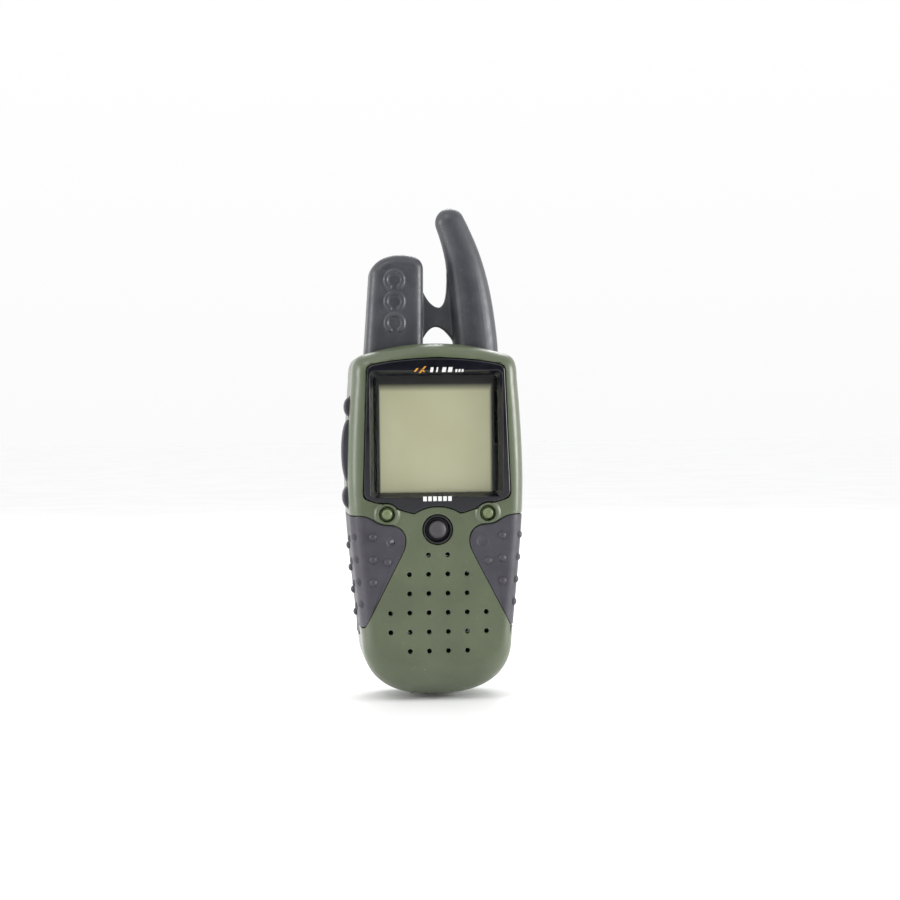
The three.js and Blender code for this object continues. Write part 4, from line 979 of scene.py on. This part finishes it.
def make_door(guide):
    door = refined("battery_door", "door_cover", guide)
    ribs = []
    for i in range(DOOR_RIBS):
        z = DOOR_RIB_FOOT + DOOR_RIB_PITCH * i
        x = DOOR_RIB_REACH
        line = rounded_box(-x, x, z - DOOR_RIB_HALF, z + DOOR_RIB_HALF, DOOR_RIB_HALF - 0.01, 4)
        ribs.append(plate(f"rib_{i}", line, REAR_DEPTH - 0.5, REAR_DEPTH + DOOR_RIB_RISE, 0.0, 0.3, 3))
    combine(door, together(ribs), "UNION")
    return settle(door, "door", "green_plastic", ["battery_door"])


# ---------------------------------------------------------------- antennas


def nav_antenna():
    foot = CASE_HEIGHT - 8
    top = CASE_HEIGHT + NAV_RISE
    right = -NAV_RIGHT
    left = -NAV_LEFT
    line = path(
        (right, foot),
        (8, (right + 0.4, top - 5)),
        (12, (right + 0.4, top - 1), (NAV_MIDDLE + 6.5, top), (NAV_MIDDLE + 2.5, top)),
        (12, (NAV_MIDDLE - 2, top), (left + 2.7, top - 2.5), (left + 2.3, top - 6.5)),
        (8, (left, foot)),
        (6, (right, foot)),
    )
    y0 = ANTENNA_Y - NAV_DEPTH / 2
    return plate("nav_antenna", line, y0, y0 + NAV_DEPTH, NAV_EDGE, NAV_EDGE, 8)


def horn_antenna():
    """A bent round horn that narrows towards its domed tip."""
    rings = []
    stations = [Vector(s) for s in HORN]
    fine = []
    for i in range(len(stations) - 1):
        before = stations[max(i - 1, 0)]
        start, end = stations[i], stations[i + 1]
        after = stations[min(i + 2, len(stations) - 1)]
        for step in range(5):
            t = step / 5
            fine.append(
                0.5
                * (
                    2 * start
                    + (end - before) * t
                    + (2 * before - 5 * start + 4 * end - after) * t * t
                    + (3 * start - before - 3 * end + after) * t**3
                )
            )
    fine.append(stations[-1])
    ways = []
    for i in range(len(fine)):
        step = fine[min(i + 1, len(fine) - 1)] - fine[max(i - 1, 0)]
        ways.append(Vector((step.x, 0, step.y)).normalized())

    def ring(spot, way, radius):
        across = Vector((way.z, 0, -way.x))
        line = []
        for i in range(32):
            turn = 2 * math.pi * i / 32
            side = Vector((0, ANTENNA_Y + HORN_SQUASH * radius * math.sin(turn), 0))
            line.append(spot + across * radius * math.cos(turn) + side)
        return line

    for station, way in zip(fine, ways):
        rings.append(ring(Vector((station.x, 0, CASE_HEIGHT + station.y)), way, station.z))
    end = Vector((fine[-1].x, 0, CASE_HEIGHT + fine[-1].y))
    for step in range(1, 9):
        turn = step / 9 * math.pi / 2
        spot = end + ways[-1] * fine[-1].z * math.sin(turn)
        rings.append(ring(spot, ways[-1], fine[-1].z * math.cos(turn)))
    return skin("horn_antenna", rings)


def antenna_web():
    top = CASE_HEIGHT
    line = [Vector((-6.4, top - 6)), Vector((-4.9, top - 6))]
    line += path(
        (-4.9, top + 1),
        (8, (-3.2, top + 4.8), (-1.4, top + 6), (0, top + 6)),
        (8, (2, top + 6), (4.4, top + 3.4), (6.1, top + 0.4)),
    )
    line += [Vector((6.1, top + 0.4)), Vector((6.4, top - 6)), Vector((8, top - 6)), Vector((8, top + 24))]
    line += path(
        (3.7, top + 24),
        (10, (3.9, top + 15), (2.6, top + 12.4), (0.9, top + 12.4)),
        (10, (-1.4, top + 12.4), (-3.6, top + 15.5), (-5.2, top + 20)),
    )
    line += [Vector((-5.2, top + 20)), Vector((-6.4, top + 20))]
    line = [point + Vector((WEB_MIDDLE, 0)) for point in line]
    return plate("web", line, ANTENNA_Y - WEB_THICKNESS / 2, ANTENNA_Y + WEB_THICKNESS / 2, 0.5, 0.5, 3)


def raised_arc(name, x, z, radius, start, end):
    """A raised arc on the front of the navigation antenna."""
    steps = 20
    outer = []
    inner = []
    for i in range(steps + 1):
        turn = math.radians(start + (end - start) * i / steps)
        way = Vector((math.cos(turn), math.sin(turn)))
        outer.append(Vector((x, z)) + way * (radius + ARC_WIDTH / 2))
        inner.append(Vector((x, z)) + way * (radius - ARC_WIDTH / 2))
    front = ANTENNA_Y - NAV_DEPTH / 2
    return plate(name, outer + inner[::-1], front - ARC_RISE, front + 1.0)


def make_antenna():
    cover = nav_antenna()
    combine(cover, horn_antenna(), "UNION")
    combine(cover, antenna_web(), "UNION")
    reach = NAV_DEPTH / 2 - 0.6
    low = CASE_HEIGHT - 10
    end = HORN[0][0] + HORN[0][2] + 0.1
    flange = block("flange", -NAV_LEFT - 0.2, end, ANTENNA_Y - reach, ANTENNA_Y + reach, low, low + 2)
    combine(cover, flange, "UNION")
    marks = []
    for i, height in enumerate((7.0, 14.0, 21.0)):
        marks.append(raised_arc(f"mark_{i}", NAV_MIDDLE + 0.3, CASE_HEIGHT + height, ARC_RADIUS, -65, 245))
    combine(cover, together(marks), "UNION")
    mesher = cover.modifiers.new("moulding", "REMESH")
    mesher.mode = "VOXEL"
    mesher.voxel_size = 0.34
    mesher.use_smooth_shade = True
    relax = cover.modifiers.new("fillets", "SMOOTH")
    relax.factor = 0.5
    relax.iterations = 3
    apply_modifiers(cover)
    return settle(
        cover, "root", "antenna_rubber", ["antenna_cover"], sharp=60
    )


# ---------------------------------------------------------------- screen


def make_bezel():
    bezel = plate("lens", lens_outline(), FACE - LENS_PROUD, BEZEL_BACK, 0.35, 0.0, 4)
    slope = RECESS_FLARE / (BEZEL_BACK - FACE + LENS_PROUD)
    rings = []
    for y, flare in (
        (FACE - LENS_PROUD - 1, RECESS_FLARE + slope),
        (BEZEL_BACK + 1, -slope),
    ):
        across = RECESS_WIDTH / 2 + flare
        line = rounded_box(-across, across, RECESS_FOOT - flare, RECESS_TOP + flare, 1.6)
        rings.append([Vector((p.x, y, p.y)) for p in line])
    combine(bezel, skin("funnel", rings))
    clean(bezel)
    return settle(
        bezel, "root", "gloss_black", ["screen_bezel"], bevel=0.14, bevel_from=20
    )


def bar_mark(name, finish, x0, x1, z0, z1, lean=0.0):
    """A flat printed mark on the lens."""
    front = FACE - LENS_PROUD
    shift = lean * (z1 - z0)
    line = [Vector((x0, z0)), Vector((x1, z0)), Vector((x1 + shift, z1)), Vector((x0 + shift, z1))]
    mark = plate(name, line, front - 0.03, front + 0.05)
    return settle(mark, "root", finish)


def make_marks():
    middle = LENS_TOP - 3.6
    bar_mark("amber_mark_a", "amber_print", -7.2, -6.6, middle - 0.6, middle + 0.5, 0.9)
    bar_mark("amber_mark_b", "amber_print", -5.6, -5.0, middle - 1.0, middle + 1.1, 0.9)
    bar_mark("amber_mark_c", "amber_print", -4.2, -3.6, middle - 0.7, middle + 0.3, -0.6)
    for i, width in enumerate((0.9, 0.5, 1.2, 1.3)):
        x = -2.0 + 1.9 * i
        bar_mark(f"white_mark_{i}", "white_print", x, x + width, middle - 0.8, middle + 0.75, 0.2)
    for i in range(3):
        x = 6.1 + 1.0 * i
        bar_mark(f"small_mark_{i}", "white_print", x, x + 0.6, middle - 0.8, middle + 0.1, 0.15)
    low = LENS_FOOT - 0.2
    for i in range(6):
        x = -4.6 + 1.6 * i
        bar_mark(f"foot_mark_{i}", "white_print", x, x + 1.15, low - 0.75, low + 0.75)


# ---------------------------------------------------------------- keys and stick


def make_front_key(side):
    tip = FACE - KEY_BULGE_RISE - 0.5
    inner = FACE + CASE_WALL
    r = KEY_RADIUS
    neck = KEY_HOLE_RADIUS - FIT_GAP
    profile = [(0, tip), (0.3 * r, tip + 0.03), (0.58 * r, tip + 0.14), (0.82 * r, tip + 0.36)]
    profile += [(0.96 * r, tip + 0.68), (r, tip + 1.0), (r, FACE + 0.75), (neck, FACE + 0.95)]
    rim = KEY_HOLE_RADIUS + 0.5
    profile += [(neck, inner + 0.4), (rim, inner + 0.4), (rim, inner + 1.2)]
    profile += [(1, inner + 1.2), (1, KEY_STEM_END), (0, KEY_STEM_END)]
    hand = "left" if side < 0 else "right"
    key = lathe(hand + "_key_dome", profile, axis_y(side * KEY_SPREAD, KEY_Z), 40)
    return settle(key, hand + "_key", "key_green", ["front_key_" + hand])


def make_stick():
    r = STICK_WELL_RADIUS
    inner = FACE + CASE_WALL
    profile = [(r, FACE + 0.3), (r, inner + 0.3), (r - 2.2, inner + 0.3), (r - 2.2, inner - 0.2)]
    profile += [(r - 1.0, inner - 0.4), (r - 0.72, inner - 0.7), (r - 0.55, FACE + 0.6)]
    profile += [(r - 0.42, FACE + 0.2), (r - 0.2, FACE + 0.1), (r - 0.05, FACE + 0.14), (r, FACE + 0.3)]
    well = lathe("stick_cup", profile, axis_y(0, STICK_Z), 56)
    clean(well)
    settle(well, "root", "black_plastic", ["stick_well"])
    top = FACE - STICK_CAP_RISE
    r = STICK_CAP_RADIUS
    bottom = inner - 1.4
    profile = [(0, top), (0.25 * r, top + 0.02), (0.5 * r, top + 0.13), (0.72 * r, top + 0.38)]
    profile += [(0.88 * r, top + 0.72), (0.97 * r, top + 1.12), (r, top + 1.5), (0.98 * r, bottom - 0.45)]
    profile += [(0.94 * r, bottom - 0.12), (0.85 * r, bottom), (1.2, bottom), (1.2, bottom - 1.5)]
    profile.append((0, bottom - 1.5))
    cap = lathe("stick_dome", profile, axis_y(0, STICK_Z), 40)
    settle(cap, "stick", "stick_rubber", ["stick_cap"])


def make_side_key(node, body, drop, length, rise):
    z = CASE_HEIGHT - drop
    half = length / 2
    face = -half_width_at(z)
    least = min(half_width_at(z - half), half_width_at(z + half))
    shoulder = -least + CASE_WALL + FIT_GAP
    peak = face - 1.33 * rise
    bend = 0.75 * half
    line = path(
        (shoulder, z - half),
        (4, (shoulder, z + half)),
        (4, (face, z + half)),
        (18, (peak, z + bend), (peak, z - bend), (face, z - half)),
        (4, (shoulder, z - half)),
    )
    y0 = SIDE_KEY_Y - SIDE_KEY_BREADTH / 2
    y1 = SIDE_KEY_Y + SIDE_KEY_BREADTH / 2
    key = plate(node + "_cap", line, y0, y1, 0.7, 0.7, 5)
    flange = block("flange", shoulder - 0.02, shoulder + 0.8, y0 - 0.8, y1 + 0.8, z - half, z + half)
    combine(key, flange, "UNION")
    return settle(key, body, "grip_rubber", [node], sharp=40)


# ---------------------------------------------------------------- back and side fittings


def softened(node, name, body, finish, bevel):
    """A copy of a CAD node with clean faces and softly broken edges."""
    obj = cad_copy(node, name)
    mesh = obj.data
    work = bmesh.new()
    work.from_mesh(mesh)
    bmesh.ops.remove_doubles(work, verts=work.verts, dist=CAD_MERGE_REACH)
    bmesh.ops.dissolve_limit(work, angle_limit=math.radians(1.0), verts=work.verts, edges=work.edges)
    work.to_mesh(mesh)
    work.free()
    return settle(obj, body, finish, [node], bevel=bevel)


def make_port_cover():
    """The rubber port cap, with grooves across it for a thumb nail."""
    low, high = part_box("port_cap")
    face = high.x / MM
    middle = (low.z + high.z) / 2 / MM - ORIGIN.z
    y = (low.y + high.y) / 2 / MM - ORIGIN.y
    cover = softened("port_cap", "port_cover", "cap", "seal_rubber", 0.25)
    cover.data.transform(FROM_METRES)
    reach = CAP_GROOVE_REACH
    deep = CAP_GROOVE_DEPTH
    for i in range(CAP_GROOVES):
        z = middle + CAP_GROOVE_PITCH * (i - 2)
        groove = block("groove", face - deep, face + 1, y - reach, y + reach, z - deep, z + deep)
        combine(cover, groove)
    cover.data.transform(TO_METRES)
    return cover


def make_button():
    low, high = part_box("belt_clip_button")
    y0 = low.y / MM - ORIGIN.y
    y1 = high.y / MM - ORIGIN.y
    neck = y0 + 2.3
    profile = [(1.3, y0), (3.6, y0), (3.6, neck - 0.3), (3.9, neck), (5.4, neck), (5.8, neck + 0.15)]
    profile += [(6.0, neck + 0.5), (6.0, y1 - 0.7), (5.85, y1 - 0.25), (5.5, y1), (4.4, y1), (4.1, y1 - 0.2)]
    profile += [(0, y1 - 0.2), (0, neck), (1.3, neck), (1.3, y0)]
    button = lathe("clip_button", profile, axis_y(0, CLIP_BUTTON_Z), 48)
    clean(button)
    return settle(button, "root", "black_plastic", ["belt_clip_button"])


def make_ring():
    """The folding wire ring: a half circle closed by its pivot bar."""
    low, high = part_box("pull_ring")
    wire = RING_WIRE_RADIUS
    plane = (low.y + high.y) / 2 / MM - ORIGIN.y
    rings = []
    for i in range(25):
        turn = math.pi + math.pi * i / 24
        way = Vector((math.cos(turn), 0, math.sin(turn)))
        spot = Vector((0, plane, LATCH_Z)) + way * RING_RADIUS
        rings.append(
            [
                spot + way * wire * math.cos(a) + Vector((0, wire * math.sin(a), 0))
                for a in (2 * math.pi * k / 16 for k in range(16))
            ]
        )
    bow = skin("ring_wire", rings)
    reach = RING_RADIUS + wire
    edge = 0.12
    profile = [(0, -reach), (wire - edge, -reach), (wire, -reach + edge), (wire, reach - edge)]
    profile += [(wire - edge, reach), (0, reach)]
    combine(bow, lathe("bar", profile, axis_x(plane, LATCH_Z), 16), "UNION")
    clean(bow)
    return settle(bow, "ring", "steel", ["pull_ring"], sharp=45)


# ---------------------------------------------------------------- the whole object

for side in (-1, 1):
    make_grip(side)
    make_front_key(side)
make_front()
smooth_case = case_whole("smooth_case", turns=14)
make_rear(smooth_case)
make_door(smooth_case)
discard(smooth_case)
make_antenna()
make_bezel()
make_marks()
make_stick()
for key in SIDE_KEYS:
    make_side_key(*key)
make_button()
make_ring()
make_port_cover()
softened("latch_rotor", "latch_knob", "latch", "black_plastic", 0.12)

# CAD nodes that are shown as they are, by finish.
SHOWN = {
    "seal_rubber": ("housing_gasket",),
    "clear_window": ("screen_window",),
    "display": ("lcd_panel",),
    "light_guide": ("lcd_backlight",),
    "ceramic": ("nav_antenna_element",),
    "copper": ("radio_antenna_element",),
    "steel": (
        "key_dome_left", "key_dome_right", "stick_plunger", "stick_yoke", "stick_stem",
        "speaker_magnet", "latch_tongue", "belt_clip_screw", "case_screw_top_1", "case_screw_top_2",
        "case_screw_low_1", "case_screw_low_2",
    ),
    "circuit": ("key_board", "side_switch_board", "main_board"),
    "black_plastic": ("stick_switch_box", "data_socket", "headset_socket"),
    "tin": (
        "speaker_basket", "microphone", "radio_shield", "navigator_shield", "cell_contact_lower",
        "cell_contact_upper",
    ),
    "cone_paper": ("speaker_cone",),
    "cell_wrap": ("cell_1", "cell_2", "cell_3"),
}
for finish, nodes in SHOWN.items():
    for node in nodes:
        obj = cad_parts[node]
        if not obj.material_slots:
            obj.data.materials.append(FINISH[finish])
        for slot in obj.material_slots:
            slot.material = FINISH[finish]

# ---------------------------------------------------------------- floor, light and camera

FLOOR_SIZE = 12.0
FLOOR_STEPS = 12
CAMERA_TARGET = Vector((4.2, FACE, 79.7))
CAMERA_DISTANCE = 600.0
CAMERA_AZIMUTH = -6.0
CAMERA_ELEVATION = 1.0
CAMERA_ROLL = -0.6
CAMERA_LENS = 75.1
STUDIO_AIM = (0, -0.03, -0.02)


def make_floor():
    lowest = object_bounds()[0].z
    size = FLOOR_SIZE
    mesh = bpy.data.meshes.new("floor")
    steps = FLOOR_STEPS
    points = []
    for j in range(steps + 1):
        for i in range(steps + 1):
            points.append(((i / steps - 0.5) * size, (j / steps - 0.5) * size, lowest))
    faces = []
    for j in range(steps):
        for i in range(steps):
            here = j * (steps + 1) + i
            faces.append((here, here + 1, here + steps + 2, here + steps + 1))
    mesh.from_pydata(points, [], faces)
    floor = bpy.data.objects.new("floor", mesh)
    bpy.context.scene.collection.objects.link(floor)
    paper = Finish("floor_paper").colour(rgb(246, 246, 247), rgb(250, 250, 250), 60.0)
    paper.rough(0.5, 0.6, 20.0).grain(1.0, 0.05, 0.02)
    mesh.materials.append(paper.material)


def make_light(name, place, target, size, power):
    data = bpy.data.lights.new(name, "AREA")
    data.shape = "DISK"
    data.size = size
    data.energy = power
    lamp = bpy.data.objects.new(name, data)
    lamp.location = place
    lamp.rotation_mode = "QUATERNION"
    lamp.rotation_quaternion = (Vector(place) - Vector(target)).to_track_quat("Z", "Y")
    bpy.context.scene.collection.objects.link(lamp)


def make_world():
    """Bright all round except on the camera's side, so that gloss stays dark when seen from the front."""
    world = bpy.data.worlds.new("studio")
    world.use_nodes = True
    tree = world.node_tree
    sky = tree.nodes["Background"]
    coordinates = tree.nodes.new("ShaderNodeTexCoord")
    split = tree.nodes.new("ShaderNodeSeparateXYZ")
    tree.links.new(coordinates.outputs["Generated"], split.inputs["Vector"])
    product = tree.nodes.new("ShaderNodeMath")
    product.operation = "MULTIPLY"
    ramps = (("Y", -0.97, -0.74, 0.1, 1.0), ("Z", 0.0, 0.5, 0.965, 1.05))
    for target, (axis, *limits) in zip(product.inputs, ramps):
        ramp = tree.nodes.new("ShaderNodeMapRange")
        for socket, limit in zip(("From Min", "From Max", "To Min", "To Max"), limits):
            ramp.inputs[socket].default_value = limit
        tree.links.new(split.outputs[axis], ramp.inputs["Value"])
        tree.links.new(ramp.outputs["Result"], target)
    tree.links.new(product.outputs[0], sky.inputs["Strength"])
    sky.inputs["Color"].default_value = (1.0, 1.0, 1.0, 1.0)
    bpy.context.scene.world = world


def make_camera():
    azimuth = math.radians(CAMERA_AZIMUTH)
    elevation = math.radians(CAMERA_ELEVATION)
    back = Vector(
        (
            math.sin(azimuth) * math.cos(elevation),
            -math.cos(azimuth) * math.cos(elevation),
            math.sin(elevation),
        )
    )
    data = bpy.data.cameras.new("camera")
    data.sensor_width = 36.0
    data.lens = CAMERA_LENS
    camera = bpy.data.objects.new("camera", data)
    camera.location = TO_METRES @ (CAMERA_TARGET + back * CAMERA_DISTANCE)
    look = back.to_track_quat("Z", "Y")
    roll = Matrix.Rotation(math.radians(CAMERA_ROLL), 3, "Z").to_quaternion()
    camera.rotation_mode = "QUATERNION"
    camera.rotation_quaternion = look @ roll
    data.clip_start = 0.01
    bpy.context.scene.collection.objects.link(camera)
    bpy.context.scene.camera = camera


make_floor()
make_world()
make_light("key_light", (-0.4, -0.5, 0.75), STUDIO_AIM, 0.4, 1.2)
make_light("left_light", (-0.75, -0.12, 0.12), STUDIO_AIM, 0.4, 2.2)
make_light("right_light", (0.75, -0.2, 0.1), STUDIO_AIM, 0.4, 4.0)
make_light("rim_light", (0.1, 0.6, 0.6), (0, -0.02, 0.02), 0.5, 3.0)
make_camera()
bpy.context.scene.view_settings.view_transform = "Standard"
